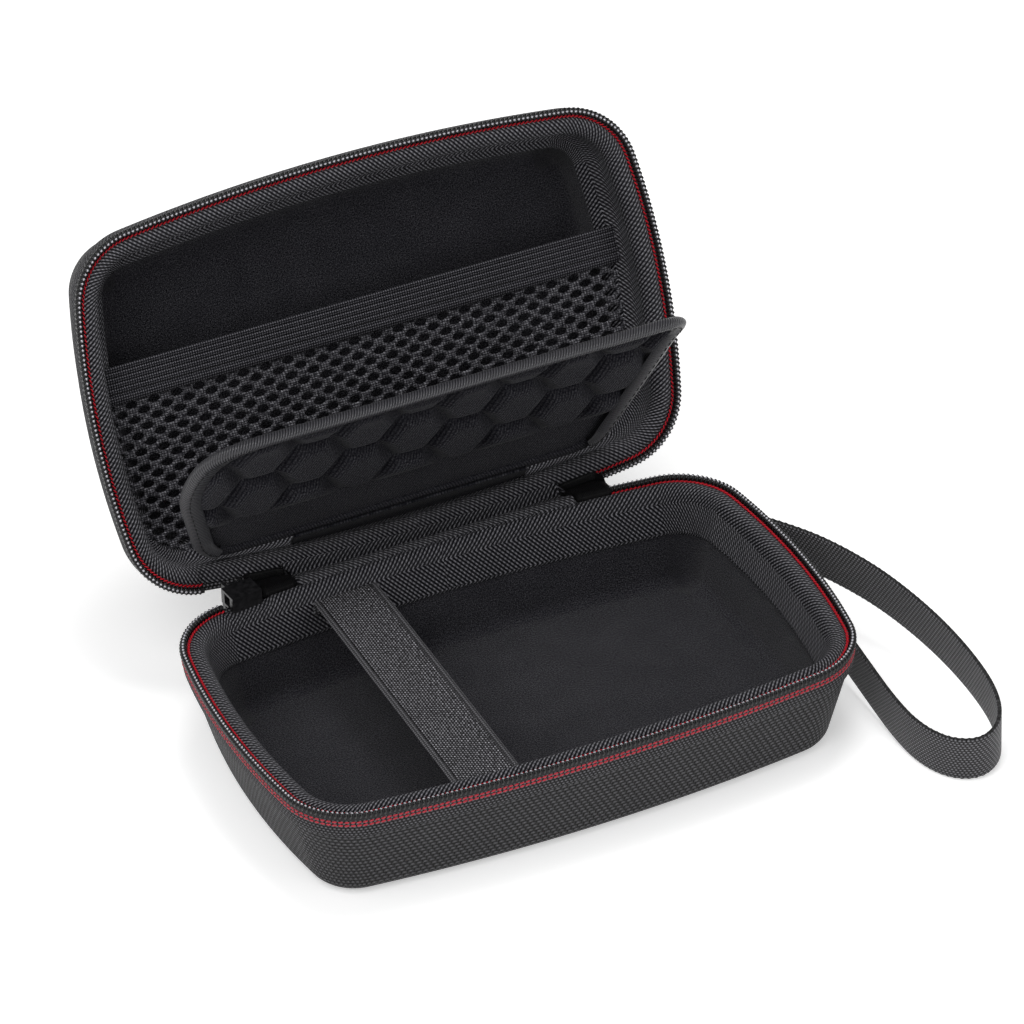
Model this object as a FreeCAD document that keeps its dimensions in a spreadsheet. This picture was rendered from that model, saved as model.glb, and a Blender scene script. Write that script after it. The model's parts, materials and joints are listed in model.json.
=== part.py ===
"""Zip-up moulded storage case: a base tray and a lid tray on a cloth hinge, with a wrist strap.

Millimetres, +Z up, +Y towards the hinge, +X towards the wrist strap. The origin is the middle of the
base's underside. The lid stands open, with its divider flap leaning out of it.
"""
import FreeCAD, Part
import math
import os
from types import SimpleNamespace

import Sketcher
from FreeCAD import Placement, Rotation, Vector

SIZES = {
    # Rim of both halves, along the middle of the zip coil, with sides that bow outwards
    "rim_length": 169.6,
    "rim_width": 108.8,
    "long_side_radius": 540.0,
    "short_side_radius": 217.0,
    "rim_corner_radius": 20.0,
    # Moulded trays
    "base_depth": 33.5,
    "lid_depth": 28.0,
    "base_wall": 5.0,
    "lid_wall": 2.0,
    "draft_angle": 15.0,
    "bottom_radius": 6.0,
    "bottom_facets": 2,
    "plate_margin": 1.0,
    # Zip coil, tape sewn round the outside of the rim and binding round its inside
    "parting_gap": 0.2,
    "coil_width": 2.6,
    "coil_height": 2.4,
    "coil_lean": 0.5,
    "tape_overhang": 0.3,
    "tape_lean": 0.6,
    "tape_step": 0.8,
    "tape_height": 9.0,
    "binding_thickness": 0.8,
    "binding_gap": 0.05,
    "binding_height": 14.0,
    # Cloth hinge and the tabs over the zip's ends
    "hinge_length": 104.0,
    "hinge_inset": -0.5,
    "hinge_drop": 5.6,
    "hinge_lap": 3.6,
    "hinge_gap": 0.2,
    "hinge_thickness": 1.0,
    "lid_open_angle": 113.0,
    "end_tab_length": 10.0,
    "end_tab_width": 3.0,
    "end_tab_height": 2.2,
    "end_tab_gap": 0.4,
    # Slider parked at the left end of the zip, and its pull
    "slider_length": 9.0,
    "slider_width": 6.4,
    "slider_height": 4.6,
    "slider_channel": 3.0,
    "slider_plate": 0.7,
    "slider_room": 12.0,
    "ear_thickness": 1.0,
    "ear_spacing": 3.4,
    "ear_reach": 3.4,
    "ear_height": 2.6,
    "pin_diameter": 1.2,
    "pull_bore": 1.8,
    "pull_knuckle": 2.8,
    "pull_knuckle_width": 2.8,
    "pull_width": 6.0,
    "pull_length": 22.0,
    "pull_thickness": 1.6,
    # Elastic band across the base
    "band_width": 19.0,
    "band_thickness": 1.2,
    "band_place": -30.0,
    "band_drop": 5.0,
    "band_gap": 0.2,
    # Mesh pocket in the lid
    "pocket_depth": 14.0,
    "pocket_height": 68.0,
    "pocket_gap": 0.2,
    "mesh_thickness": 1.0,
    "mesh_columns": 9,
    "mesh_rows": 6,
    "mesh_hole_length": 8.0,
    "mesh_hole_width": 5.4,
    "mesh_border": 9.0,
    "elastic_height": 10.0,
    "elastic_thickness": 1.6,
    "elastic_ridges": 5,
    "elastic_groove": 0.5,
    # Divider flap hung inside the lid
    "divider_length": 156.0,
    "divider_height": 58.0,
    "divider_taper": 20.0,
    "divider_corner_radius": 18.0,
    "divider_foot_radius": 12.0,
    "divider_thickness": 3.8,
    "divider_binding_width": 4.0,
    "divider_binding_proud": 0.4,
    "divider_depth": 11.0,
    "divider_lean": 44.0,
    "fold_diameter": 3.2,
    "fold_length": 70.0,
    "fold_gap": 0.3,
    "fold_reach": 6.0,
    "hex_across": 15.8,
    "hex_pitch": 17.8,
    "hex_rows": 3,
    "hex_margin": 1.8,
    "hex_height": 1.4,
    # Wrist strap
    "strap_width": 13.0,
    "strap_thickness": 1.2,
    "strap_tab_length": 11.0,
    "strap_tab_angle": 7.2,
    "strap_tab_gap": 0.08,
}

# Wrist strap's route along its middle, from the tab round the loop and back to it
STRAP_ROUTE = [
    (84.1, 27.0, 21.5), (86.3, 10.0, 18.2), (88.0, -9.0, 14.0), (88.8, -29.0, 9.6), (88.9, -47.0, 7.0),
    (90.0, -60.0, 6.6), (94.6, -69.6, 6.6), (102.2, -73.2, 7.0), (109.4, -69.0, 8.2), (113.4, -58.5, 9.8),
    (113.8, -43.0, 12.0), (111.6, -25.0, 14.5), (106.6, -6.0, 17.0), (99.6, 9.0, 19.0), (92.6, 19.0, 20.5),
    (85.3, 27.0, 21.5),
]
ARC_SHARE = 0.45

doc = FreeCAD.newDocument("storage_case")
sheet = doc.addObject("Spreadsheet::Sheet", "Sizes")
for row, (alias, value) in enumerate(SIZES.items(), start=1):
    sheet.set(f"A{row}", alias)
    sheet.set(f"B{row}", str(value))
    sheet.setAlias(f"B{row}", alias)
doc.recompute()


class Size:
    """A length or angle that keeps its formula in the sheet's names beside its value."""

    def __init__(self, text, value):
        self.text = text
        self.value = float(value)

    def combine(self, sign, other, value):
        return Size(f"({self.text} {sign} {other.text})", value)

    def __add__(self, other):
        other = as_size(other)
        return self.combine("+", other, self.value + other.value)

    def __sub__(self, other):
        other = as_size(other)
        return self.combine("-", other, self.value - other.value)

    def __mul__(self, other):
        other = as_size(other)
        return self.combine("*", other, self.value * other.value)

    def __truediv__(self, other):
        other = as_size(other)
        return self.combine("/", other, self.value / other.value)

    def __neg__(self):
        return Size(f"(0 - {self.text})", -self.value)


def as_size(value):
    return value if isinstance(value, Size) else Size(repr(float(value)), value)


def angle_function(name, function, angle):
    return Size(f"{name}({angle.text} * 1 deg)", function(math.radians(angle.value)))


def sine(angle):
    return angle_function("sin", math.sin, angle)


def cosine(angle):
    return angle_function("cos", math.cos, angle)


def tangent(angle):
    return angle_function("tan", math.tan, angle)


S = SimpleNamespace(**{name: Size(f"Sizes.{name}", sheet.get(name)) for name in SIZES})
ZERO = as_size(0)
NODES = []


# Document helpers

def new_body(name, place=None):
    body = doc.addObject("PartDesign::Body", name)
    body.Label = name
    if place:
        body.Placement = place
    NODES.append(body)
    return body


def bind(target, prop, value):
    target.setExpression(prop, value.text)


def sketch_on(body, name, role, offset=ZERO):
    """A sketch on one of the body's origin planes, moved along the plane's normal."""
    sketch = body.newObject("Sketcher::SketchObject", name)
    support = [feature for feature in body.Origin.OriginFeatures if feature.Role == role]
    sketch.AttachmentSupport = [(support[0], "")]
    sketch.MapMode = "FlatFace"
    sketch.AttachmentOffset = Placement(Vector(0, 0, offset.value), Rotation())
    bind(sketch, "AttachmentOffset.Base.z", offset)
    return sketch


def constrain(sketch, kind, *where, size):
    index = sketch.addConstraint(Sketcher.Constraint(kind, *where, size.value))
    sketch.setExpression(f"Constraints[{index}]", size.text)


def fix_point(sketch, edge, end, x, y):
    constrain(sketch, "DistanceX", -1, 1, edge, end, size=x)
    constrain(sketch, "DistanceY", -1, 1, edge, end, size=y)


def draw_profile(sketch, corners):
    """A closed outline of corners (x, y); a third item (radius, turn) makes the edge after it an arc."""
    edges = []
    for index, corner in enumerate(corners):
        following = corners[(index + 1) % len(corners)]
        start = Vector(corner[0].value, corner[1].value, 0)
        stop = Vector(following[0].value, following[1].value, 0)
        if len(corner) == 2:
            edge = sketch.addGeometry(Part.LineSegment(start, stop), False)
            edges.append((edge, 1, 2))
            continue
        radius, turn = corner[2]
        chord = stop - start
        side = Vector(-chord.y, chord.x, 0).normalize() * turn
        reach = math.sqrt(max(radius.value ** 2 - (chord.Length / 2) ** 2, 0))
        centre = (start + stop) * 0.5 + side * reach
        circle = Part.Circle(centre, Vector(0, 0, 1), radius.value)
        first, last = (start, stop) if turn > 0 else (stop, start)
        spans = [math.atan2(point.y - centre.y, point.x - centre.x) for point in (first, last)]
        edge = sketch.addGeometry(Part.ArcOfCircle(circle, *spans), False)
        constrain(sketch, "Radius", edge, size=radius)
        edges.append((edge, 1, 2) if turn > 0 else (edge, 2, 1))
    for index, (edge, begin, end) in enumerate(edges):
        following = edges[(index + 1) % len(edges)]
        sketch.addConstraint(Sketcher.Constraint("Coincident", edge, end, following[0], following[1]))
        fix_point(sketch, edge, begin, corners[index][0], corners[index][1])


def corner_centre(side_centre, side_reach, end_centre, end_reach):
    """Where a corner arc's centre lies, between the long side's arc and the short side's."""
    span = end_centre - side_centre
    along = (side_reach ** 2 - end_reach ** 2 + span.Length ** 2) / (2 * span.Length)
    across = math.sqrt(side_reach ** 2 - along ** 2)
    unit = span / span.Length
    return side_centre + unit * along + Vector(unit.y, -unit.x, 0) * across


def draw_outline(sketch, inset):
    """The rim's outline, moved inwards: bowed sides and round corners, split where +X meets it."""
    side_radius = S.long_side_radius - inset
    end_radius = S.short_side_radius - inset
    corner_radius = S.rim_corner_radius - inset
    side_offset = S.rim_width / 2 - S.long_side_radius
    end_offset = S.rim_length / 2 - S.short_side_radius
    centre = corner_centre(
        Vector(0, side_offset.value, 0), S.long_side_radius.value - S.rim_corner_radius.value,
        Vector(end_offset.value, 0, 0), S.short_side_radius.value - S.rim_corner_radius.value)
    low = math.atan2(centre.y, centre.x - end_offset.value)
    high = math.atan2(centre.y - side_offset.value, centre.x)
    full = math.pi
    arcs = [
        (end_offset, ZERO, end_radius, 0, low),
        (centre.x, centre.y, corner_radius, low, high),
        (ZERO, side_offset, side_radius, high, full - high),
        (-centre.x, centre.y, corner_radius, full - high, full - low),
        (-end_offset, ZERO, end_radius, full - low, full + low),
        (-centre.x, -centre.y, corner_radius, full + low, full + high),
        (ZERO, -side_offset, side_radius, full + high, 2 * full - high),
        (centre.x, -centre.y, corner_radius, 2 * full - high, 2 * full - low),
        (end_offset, ZERO, end_radius, 2 * full - low, 2 * full),
    ]
    for x, y, radius, start, stop in arcs:
        place = Vector(as_size(x).value, as_size(y).value, 0)
        circle = Part.Circle(place, Vector(0, 0, 1), radius.value)
        edge = sketch.addGeometry(Part.ArcOfCircle(circle, start, stop), False)
        constrain(sketch, "Radius", edge, size=radius)
        if isinstance(x, Size):
            fix_point(sketch, edge, 3, x, y)
    last = len(arcs) - 1
    for edge in range(last):
        sketch.addConstraint(Sketcher.Constraint("Tangent", edge, 2, edge + 1, 1))
    sketch.addConstraint(Sketcher.Constraint("PointOnObject", 0, 1, -1))
    sketch.addConstraint(Sketcher.Constraint("PointOnObject", last, 2, -1))


def pad(body, sketch, length, midplane=False):
    feature = body.newObject("PartDesign::Pad", sketch.Name + "_pad")
    feature.Profile = sketch
    bind(feature, "Length", length)
    feature.Midplane = midplane
    return feature


def cut_upwards(body, sketch, length):
    """A pocket cut towards the sketch's own normal."""
    feature = body.newObject("PartDesign::Pocket", sketch.Name + "_cut")
    feature.Profile = sketch
    feature.Reversed = True
    bind(feature, "Length", length)
    return feature


def rectangle(left, low, right, high):
    return [(left, low), (right, low), (right, high), (left, high)]


# Trays: the section of each half, measured inwards from the coil's line

def tray_section(depth, wall):
    """Heights and insets that the shell, binding, coil and what sits in the tray share."""
    t = SimpleNamespace(depth=depth, wall=wall)
    t.slope = tangent(S.draft_angle)
    t.cloth_top = depth - S.parting_gap - S.coil_height
    t.tape_foot = depth - S.tape_height
    t.binding_foot = depth - S.binding_height
    t.tape_outer = S.tape_lean - S.tape_overhang
    t.wall_outer = t.tape_outer + S.tape_step
    t.across_wall = wall / cosine(S.draft_angle)
    return t


def wall_inset(t, height):
    """Inset of the moulded wall's outer face."""
    return t.wall_outer + (t.tape_foot - height) * t.slope


def lining_inset(t, height):
    """Inset of the binding's inner face."""
    return wall_inset(t, height) + t.across_wall + S.binding_gap + S.binding_thickness


def rounded_foot(t):
    """Corners of the moulded edge between wall and underside, a rounding in a few facets."""
    radius = S.bottom_radius
    facets = int(S.bottom_facets.value)
    start = radius - radius * sine(S.draft_angle)
    middle = wall_inset(t, start) + radius * cosine(S.draft_angle)
    corners = []
    for index in range(facets + 1):
        turn = (as_size(90) - S.draft_angle) * (index / facets) + S.draft_angle
        corners.append((middle - radius * cosine(turn), radius - radius * sine(turn)))
    return corners


def from_rim(inset):
    return S.rim_length / 2 - inset


def swept_ring(name, place, corners):
    """A body swept round the rim from a section drawn at the rim's +X end."""
    body = new_body(name, place)
    spine = sketch_on(body, name + "_path", "XY_Plane")
    draw_outline(spine, ZERO)
    section = sketch_on(body, name + "_section", "XZ_Plane")
    draw_profile(section, [(from_rim(corner[0]),) + tuple(corner[1:]) for corner in corners])
    ring = body.newObject("PartDesign::AdditivePipe", name + "_ring")
    ring.Profile = section
    ring.Spine = spine
    return body


def open_at_hinge(body, name, side, height):
    """Takes the stretch over the hinge out of a ring; side is +1 where the hinge is on +Y."""
    near = S.rim_width / 2 - S.rim_corner_radius
    far = S.rim_width / 2 + S.coil_width
    low, high = (near, far) if side > 0 else (-far, -near)
    sketch = sketch_on(body, name + "_gap", "XY_Plane")
    draw_profile(sketch, rectangle(-(S.hinge_length / 2 + S.slider_room), low, S.hinge_length / 2, high))
    cut_upwards(body, sketch, height)


def tray(prefix, depth, wall, place, hinge_side):
    t = tray_section(depth, wall)
    foot = rounded_foot(t)
    flat_start = foot[-1][0]
    plate_inset = flat_start + S.plate_margin
    floor_edge = wall_inset(t, wall * 2) + t.across_wall
    shell = swept_ring(prefix + "_shell", place, [
        (-S.tape_overhang, t.cloth_top),
        (t.tape_outer, t.tape_foot),
        (t.wall_outer, t.tape_foot),
        *foot,
        (plate_inset, ZERO),
        (plate_inset, wall),
        (floor_edge, wall * 2),
        (wall_inset(t, t.cloth_top) + t.across_wall, t.cloth_top),
    ])
    plate = sketch_on(shell, prefix + "_plate", "XY_Plane")
    draw_outline(plate, flat_start + S.plate_margin / 2)
    pad(shell, plate, wall)

    top = lining_inset(t, t.cloth_top)
    low = lining_inset(t, t.binding_foot)
    swept_ring(prefix + "_binding", place, [
        (top - S.binding_thickness, t.cloth_top),
        (low - S.binding_thickness, t.binding_foot),
        (low, t.binding_foot),
        (top, t.cloth_top),
    ])
    half = S.coil_width / 2
    coil_top = t.cloth_top + S.coil_height
    coil = swept_ring(prefix + "_zip_coil", place, [
        (-half, t.cloth_top),
        (half, t.cloth_top),
        (half - S.coil_lean, coil_top),
        (S.coil_lean - half, coil_top),
    ])
    open_at_hinge(coil, prefix + "_coil", hinge_side, depth)
    return t


# Places of the lid and of the divider in it

def turned_about(x_axis_point, degrees):
    turn = Rotation(Vector(1, 0, 0), degrees)
    return Placement(x_axis_point - turn.multVec(x_axis_point), turn)


hinge_axis = Vector(0, S.rim_width.value / 2 - S.hinge_inset.value, S.base_depth.value - S.hinge_drop.value)
closed_height = S.base_depth.value + S.lid_depth.value
lid_closed = Placement(Vector(0, 0, closed_height), Rotation(Vector(1, 0, 0), 180))
LID_PLACE = turned_about(hinge_axis, -S.lid_open_angle.value) * lid_closed

base = tray("base", S.base_depth, S.base_wall, None, 1)
lid = tray("lid", S.lid_depth, S.lid_wall, LID_PLACE, -1)


# What is sewn to the base

def side_bow(x):
    """How far the long side has drawn in at a place along it."""
    return x * x / (S.long_side_radius * 2)


def retaining_band():
    body = new_body("retaining_band")
    sketch = sketch_on(body, "band_section", "YZ_Plane", S.band_place)
    bow = side_bow(S.band_width / 2 - S.band_place)
    top = base.depth - S.band_drop
    half = S.rim_width / 2 - bow - S.band_gap
    edge = half - lining_inset(base, top)
    foot = half - lining_inset(base, base.tape_foot)
    under = top - S.band_thickness
    draw_profile(sketch, [
        (edge, top), (-edge, top), (-foot, base.tape_foot), (S.band_thickness - foot, base.tape_foot),
        (S.band_thickness - edge, under), (edge - S.band_thickness, under),
        (foot - S.band_thickness, base.tape_foot), (foot, base.tape_foot),
    ])
    pad(body, sketch, S.band_width, midplane=True)


def opened(inset, above):
    """Where a point of the closed lid lies once the lid is open, as y and z, from its place at the hinge."""
    across = S.hinge_inset - inset
    turn = S.lid_open_angle
    y = S.rim_width / 2 - S.hinge_inset + across * cosine(turn) + above * sine(turn)
    z = S.base_depth - S.hinge_drop - across * sine(turn) + above * cosine(turn)
    return y, z


def hinge_strip():
    """Cloth that lies on the base's rim between the end tabs and crosses over to the lid's rim."""
    body = new_body("hinge_strip")
    half = S.hinge_length / 2 - S.end_tab_length - S.end_tab_gap * 2
    inset = side_bow(half)
    edge = S.rim_width / 2 + S.tape_overhang + S.hinge_gap
    lap = edge - S.hinge_lap
    above = S.hinge_drop + S.parting_gap + S.coil_height - S.hinge_gap
    sketch = sketch_on(body, "hinge_section", "YZ_Plane")
    draw_profile(sketch, [
        (lap, base.cloth_top),
        (edge, base.cloth_top),
        opened(inset, above),
        opened(inset + S.hinge_thickness, above),
        (edge + S.hinge_thickness / 2, base.cloth_top + S.hinge_thickness),
        (lap, base.cloth_top + S.hinge_thickness),
    ])
    pad(body, sketch, half * 2, midplane=True)


def end_tab(name, place):
    """A folded cloth tab that lies on the rim and covers one end of the zip."""
    body = new_body(name)
    sketch = sketch_on(body, name + "_outline", "XY_Plane", base.cloth_top)
    half = S.end_tab_length / 2
    outer = S.rim_width / 2 - side_bow(place)
    draw_profile(sketch, rectangle(place - half, outer - S.end_tab_width, place + half, outer))
    pad(body, sketch, S.end_tab_height)


retaining_band()
hinge_strip()
tab_place = (S.hinge_length - S.end_tab_length) / 2 - S.end_tab_gap
end_tab("zip_end_tab_left", -tab_place)
end_tab("zip_end_tab_right", tab_place)


# Slider and pull

def box(name, x, y, z, length, width, height):
    """A box centred on x, with y and z at its low corner."""
    shape = doc.addObject("Part::Box", name)
    for prop, value in (("Length", length), ("Width", width), ("Height", height)):
        bind(shape, prop, value)
    for axis, value in zip("xyz", (x - length / 2, y, z)):
        bind(shape, f"Placement.Base.{axis}", value)
    return shape


def rod_along_x(name, y, z, diameter, length):
    """A rod along X, centred on x = 0."""
    shape = doc.addObject("Part::Cylinder", name)
    bind(shape, "Radius", diameter / 2)
    bind(shape, "Height", length)
    shape.Placement = Placement(Vector(-length.value / 2, y.value, z.value), Rotation(Vector(0, 1, 0), 90))
    for axis, value in zip("xyz", (-length / 2, y, z)):
        bind(shape, f"Placement.Base.{axis}", value)
    return shape


def fuse(name, shapes):
    feature = doc.addObject("Part::MultiFuse", name)
    feature.Shapes = shapes
    return feature


def cut(name, whole, tool):
    feature = doc.addObject("Part::Cut", name)
    feature.Base = whole
    feature.Tool = tool
    return feature


def on_back_rim(x):
    """The place on the base's back rim at x, turned along the rim, at the cloth's top."""
    turn = x.value / S.long_side_radius.value
    y = S.rim_width.value / 2 - S.long_side_radius.value * (1 - math.cos(turn))
    reach = S.long_side_radius.value * math.sin(turn)
    return Placement(Vector(reach, y, base.cloth_top.value), Rotation(Vector(0, 0, 1), -math.degrees(turn)))


SLIDER_PLACE = on_back_rim(-(S.hinge_length + S.slider_room) / 2)
pin_y = S.slider_width / 2 + S.ear_reach / 2
pin_z = S.slider_height / 2


def zip_slider():
    block = box("slider_block", ZERO, -(S.slider_width / 2), ZERO,
                S.slider_length, S.slider_width, S.slider_height)
    channel = box("slider_channel_space", ZERO, -(S.slider_channel / 2), S.slider_plate,
                  S.slider_length * 2, S.slider_channel, S.slider_height - S.slider_plate * 2)
    pieces = [cut("slider_body", block, channel)]
    for name, side in (("left", -1), ("right", 1)):
        middle = (S.ear_spacing + S.ear_thickness) / 2 * side
        pieces.append(box(f"slider_ear_{name}", middle, S.slider_width / 2, pin_z - S.ear_height / 2,
                          S.ear_thickness, S.ear_reach, S.ear_height))
    pieces.append(rod_along_x("slider_pin", pin_y, pin_z, S.pin_diameter, S.ear_spacing + S.ear_thickness))
    node = fuse("zip_slider", pieces)
    node.Placement = SLIDER_PLACE
    NODES.append(node)


def zip_pull():
    knuckle = rod_along_x("pull_knuckle_rod", pin_y, pin_z, S.pull_knuckle, S.pull_knuckle_width)
    neck_foot = pin_z - S.pull_knuckle - S.pull_thickness
    neck = box("pull_neck", ZERO, pin_y - S.pull_thickness / 2, neck_foot,
               S.pull_knuckle_width, S.pull_thickness, pin_z - neck_foot)
    grip = box("pull_grip", ZERO, pin_y - S.pull_thickness / 2, pin_z - S.pull_length,
               S.pull_width, S.pull_thickness, neck_foot - pin_z + S.pull_length)
    bore = rod_along_x("pull_bore_space", pin_y, pin_z, S.pull_bore, S.pull_width)
    node = cut("zip_pull", fuse("pull_blank", [knuckle, neck, grip]), bore)
    node.Placement = SLIDER_PLACE
    NODES.append(node)


zip_slider()
zip_pull()


# What is sewn into the lid; its own frame has the rim up and the hinge on -Y

def mesh_pocket():
    body = new_body("mesh_pocket", LID_PLACE)
    low = lid.depth - S.pocket_depth
    inset = lining_inset(lid, low) + S.pocket_gap
    outline = sketch_on(body, "pocket_outline", "XY_Plane", low)
    draw_outline(outline, inset)
    pad(body, outline, S.mesh_thickness)
    mouth = S.pocket_height - S.rim_width / 2
    above = sketch_on(body, "pocket_mouth", "XY_Plane", low)
    draw_profile(above, rectangle(-S.rim_length, mouth, S.rim_length, S.rim_width))
    cut_upwards(body, above, S.mesh_thickness)
    mesh_gaps(body, low, inset, mouth - S.elastic_height)


def mesh_gaps(body, low, inset, top):
    """Rows of diamond gaps, every second row moved half a step along."""
    rows = int(S.mesh_rows.value)
    columns = int(S.mesh_columns.value)
    left = inset + S.mesh_border - S.rim_length / 2
    bottom = inset + S.mesh_border - S.rim_width / 2
    step_x = (-left) * 2 / (columns - 0.5)
    step_y = (top - bottom) / rows
    half_length = S.mesh_hole_length / 2
    half_width = S.mesh_hole_width / 2
    for shift in range(2):
        x = left + step_x * (0.25 + shift / 2)
        y = bottom + step_y * (0.5 + shift)
        gap = sketch_on(body, f"mesh_gap_{shift}", "XY_Plane", low)
        draw_profile(gap, [
            (x - half_length, y), (x, y - half_width), (x + half_length, y), (x, y + half_width),
        ])
        first = cut_upwards(body, gap, S.mesh_thickness)
        along = repeat(body, f"mesh_along_{shift}", gap, "H_Axis", step_x * (columns - 1), columns)
        across = repeat(body, f"mesh_across_{shift}", gap, "V_Axis", step_y * (rows - 2), rows // 2)
        pattern = body.newObject("PartDesign::MultiTransform", f"mesh_pattern_{shift}")
        pattern.Originals = [first]
        pattern.Transformations = [along, across]
        body.Tip = pattern


def repeat(body, name, sketch, axis, length, count):
    feature = body.newObject("PartDesign::LinearPattern", name)
    feature.Direction = (sketch, [axis])
    bind(feature, "Length", length)
    feature.Occurrences = count
    return feature


def pocket_elastic():
    """A ribbed elastic that lies on the mesh along the pocket's mouth."""
    body = new_body("pocket_elastic", LID_PLACE)
    low = lid.depth - S.pocket_depth + S.mesh_thickness
    top = S.pocket_height - S.rim_width / 2
    ridges = int(S.elastic_ridges.value)
    step = S.elastic_height / (ridges * 2 - 1)
    crest = low + S.elastic_thickness
    corners = [(top - S.elastic_height, low), (top, low)]
    for index in range(ridges * 2 - 1):
        level = crest if index % 2 == 0 else crest - S.elastic_groove
        start = top - step * index
        corners += [(start, level), (start - step, level)]
    sketch = sketch_on(body, "elastic_section", "YZ_Plane")
    draw_profile(sketch, corners)
    reach = lining_inset(lid, lid.depth - S.pocket_depth) + S.pocket_gap
    end_bow = top * top / (S.short_side_radius * 2)
    pad(body, sketch, S.rim_length - (reach + end_bow) * 2, midplane=True)


# Divider flap; its fold lies against the binding on the hinge side

fold_bow = side_bow(S.fold_length / 2)
divider_z = S.lid_depth - S.divider_depth
divider_y = (lining_inset(lid, divider_z) + fold_bow + S.fold_gap + S.fold_diameter / 2) - S.rim_width / 2
divider_point = Vector(0, divider_y.value, divider_z.value)
DIVIDER_PLACE = LID_PLACE * turned_about(divider_point, S.divider_lean.value)


def flap_outline(margin):
    """The flap's outline, moved inwards: sides that draw in towards the fold, and round corners."""
    low = divider_y + S.fold_reach + margin
    high = divider_y + S.fold_reach + S.divider_height - margin
    sidestep = margin * tangent(S.divider_taper) + margin / cosine(S.divider_taper)
    half = S.divider_length / 2 - sidestep
    foot = half - (high - low) * tangent(S.divider_taper)
    radius = S.divider_corner_radius - margin
    foot_radius = S.divider_foot_radius - margin
    trim = radius / tangent((as_size(90) - S.divider_taper) / 2)
    foot_trim = foot_radius / tangent((as_size(90) + S.divider_taper) / 2)
    across = sine(S.divider_taper)
    down = cosine(S.divider_taper)
    foot_start = (foot + foot_trim * across, low + foot_trim * down)
    side_end = (half - trim * across, high - trim * down)
    return [
        (foot_trim - foot, low),
        (foot - foot_trim, low, (foot_radius, 1)),
        foot_start,
        (*side_end, (radius, 1)),
        (half - trim, high),
        (trim - half, high, (radius, 1)),
        (-side_end[0], side_end[1]),
        (-foot_start[0], foot_start[1], (foot_radius, 1)),
    ]


def divider_binding():
    body = new_body("divider_binding", DIVIDER_PLACE)
    low = divider_z - S.divider_binding_proud
    height = S.divider_thickness + S.divider_binding_proud * 2
    outer = sketch_on(body, "flap_edge", "XY_Plane", low)
    draw_profile(outer, flap_outline(ZERO))
    pad(body, outer, height)
    inner = sketch_on(body, "flap_window", "XY_Plane", low)
    draw_profile(inner, flap_outline(S.divider_binding_width))
    cut_upwards(body, inner, height)


def divider_pad():
    """A padded sheet with hexagonal pillows raised on the side that faces out of the lid."""
    body = new_body("divider_pad", DIVIDER_PLACE)
    outline = sketch_on(body, "pad_outline", "XY_Plane", divider_z)
    draw_profile(outline, flap_outline(S.divider_binding_width))
    sheet_thickness = S.divider_thickness - S.hex_height
    pad(body, outline, sheet_thickness)
    for row, (x, y, count) in enumerate(hexagon_rows()):
        sketch = sketch_on(body, f"hexagon_{row}", "XY_Plane", divider_z + sheet_thickness)
        draw_profile(sketch, hexagon(x, y))
        first = pad(body, sketch, S.hex_height)
        pattern = repeat(body, f"hexagon_row_{row}", sketch, "H_Axis", hex_step * (count - 1), count)
        pattern.Originals = [first]
        body.Tip = pattern


hex_reach = S.hex_across / math.sqrt(3)
hex_step = S.hex_pitch * math.sqrt(3)


def hexagon(x, y):
    """A hexagon with a flat top, its corners to the left and right."""
    half = S.hex_across / 2
    side = hex_reach / 2
    return [
        (x + hex_reach, y), (x + side, y + half), (x - side, y + half),
        (x - hex_reach, y), (x - side, y - half), (x + side, y - half),
    ]


def hexagon_rows():
    """Close-packed rows from the flap's free edge down: the first hexagon's middle and how many follow."""
    from_top = S.divider_binding_width + S.hex_margin + S.hex_across / 2
    high = divider_y + S.fold_reach + S.divider_height
    for row in range(int(S.hex_rows.value)):
        below = from_top + S.hex_pitch / 2 * row
        drawn_in = (below + S.hex_across / 2) * tangent(S.divider_taper)
        room = S.divider_length - (drawn_in + S.divider_binding_width + hex_reach) * 2
        count = int(room.value // hex_step.value) + 1
        if count % 2 != row % 2:
            count -= 1
        yield hex_step * ((1 - count) / 2), high - below, count


def divider_fold():
    """A cloth tongue with a rolled edge, which the flap hangs and turns on."""
    body = new_body("divider_fold", DIVIDER_PLACE)
    sketch = sketch_on(body, "fold_section", "YZ_Plane")
    radius = S.fold_diameter / 2
    face = divider_y + S.fold_reach
    low = divider_z - radius
    high = divider_z + radius
    draw_profile(sketch, [
        (divider_y, low), (face, low), (face, high),
        (divider_y, high, (radius, 1)), (divider_y - radius, divider_z, (radius, 1)),
    ])
    pad(body, sketch, S.fold_length, midplane=True)


mesh_pocket()
pocket_elastic()
divider_binding()
divider_pad()
divider_fold()


# Wrist strap: webbing that stands on its edge and falls from the tab to the floor

def rounded_route(points):
    """Straight runs joined by arcs as large as the runs allow, and the arcs' radii."""
    edges = []
    radii = []
    start = points[0]
    for before, corner, after in zip(points, points[1:], points[2:]):
        back = (before - corner).normalize()
        on = (after - corner).normalize()
        turn = math.pi - back.getAngle(on)
        trim = ARC_SHARE * min((before - corner).Length, (after - corner).Length)
        radius = trim / math.tan(turn / 2)
        enter = corner + back * trim
        leave = corner + on * trim
        inwards = (back + on).normalize()
        middle = corner + inwards * (radius / math.cos(turn / 2) - radius)
        edges += [Part.LineSegment(start, enter).toShape(), Part.Arc(enter, middle, leave).toShape()]
        radii.append(radius)
        start = leave
    edges.append(Part.LineSegment(start, points[-1]).toShape())
    return Part.Wire(edges), radii


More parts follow.
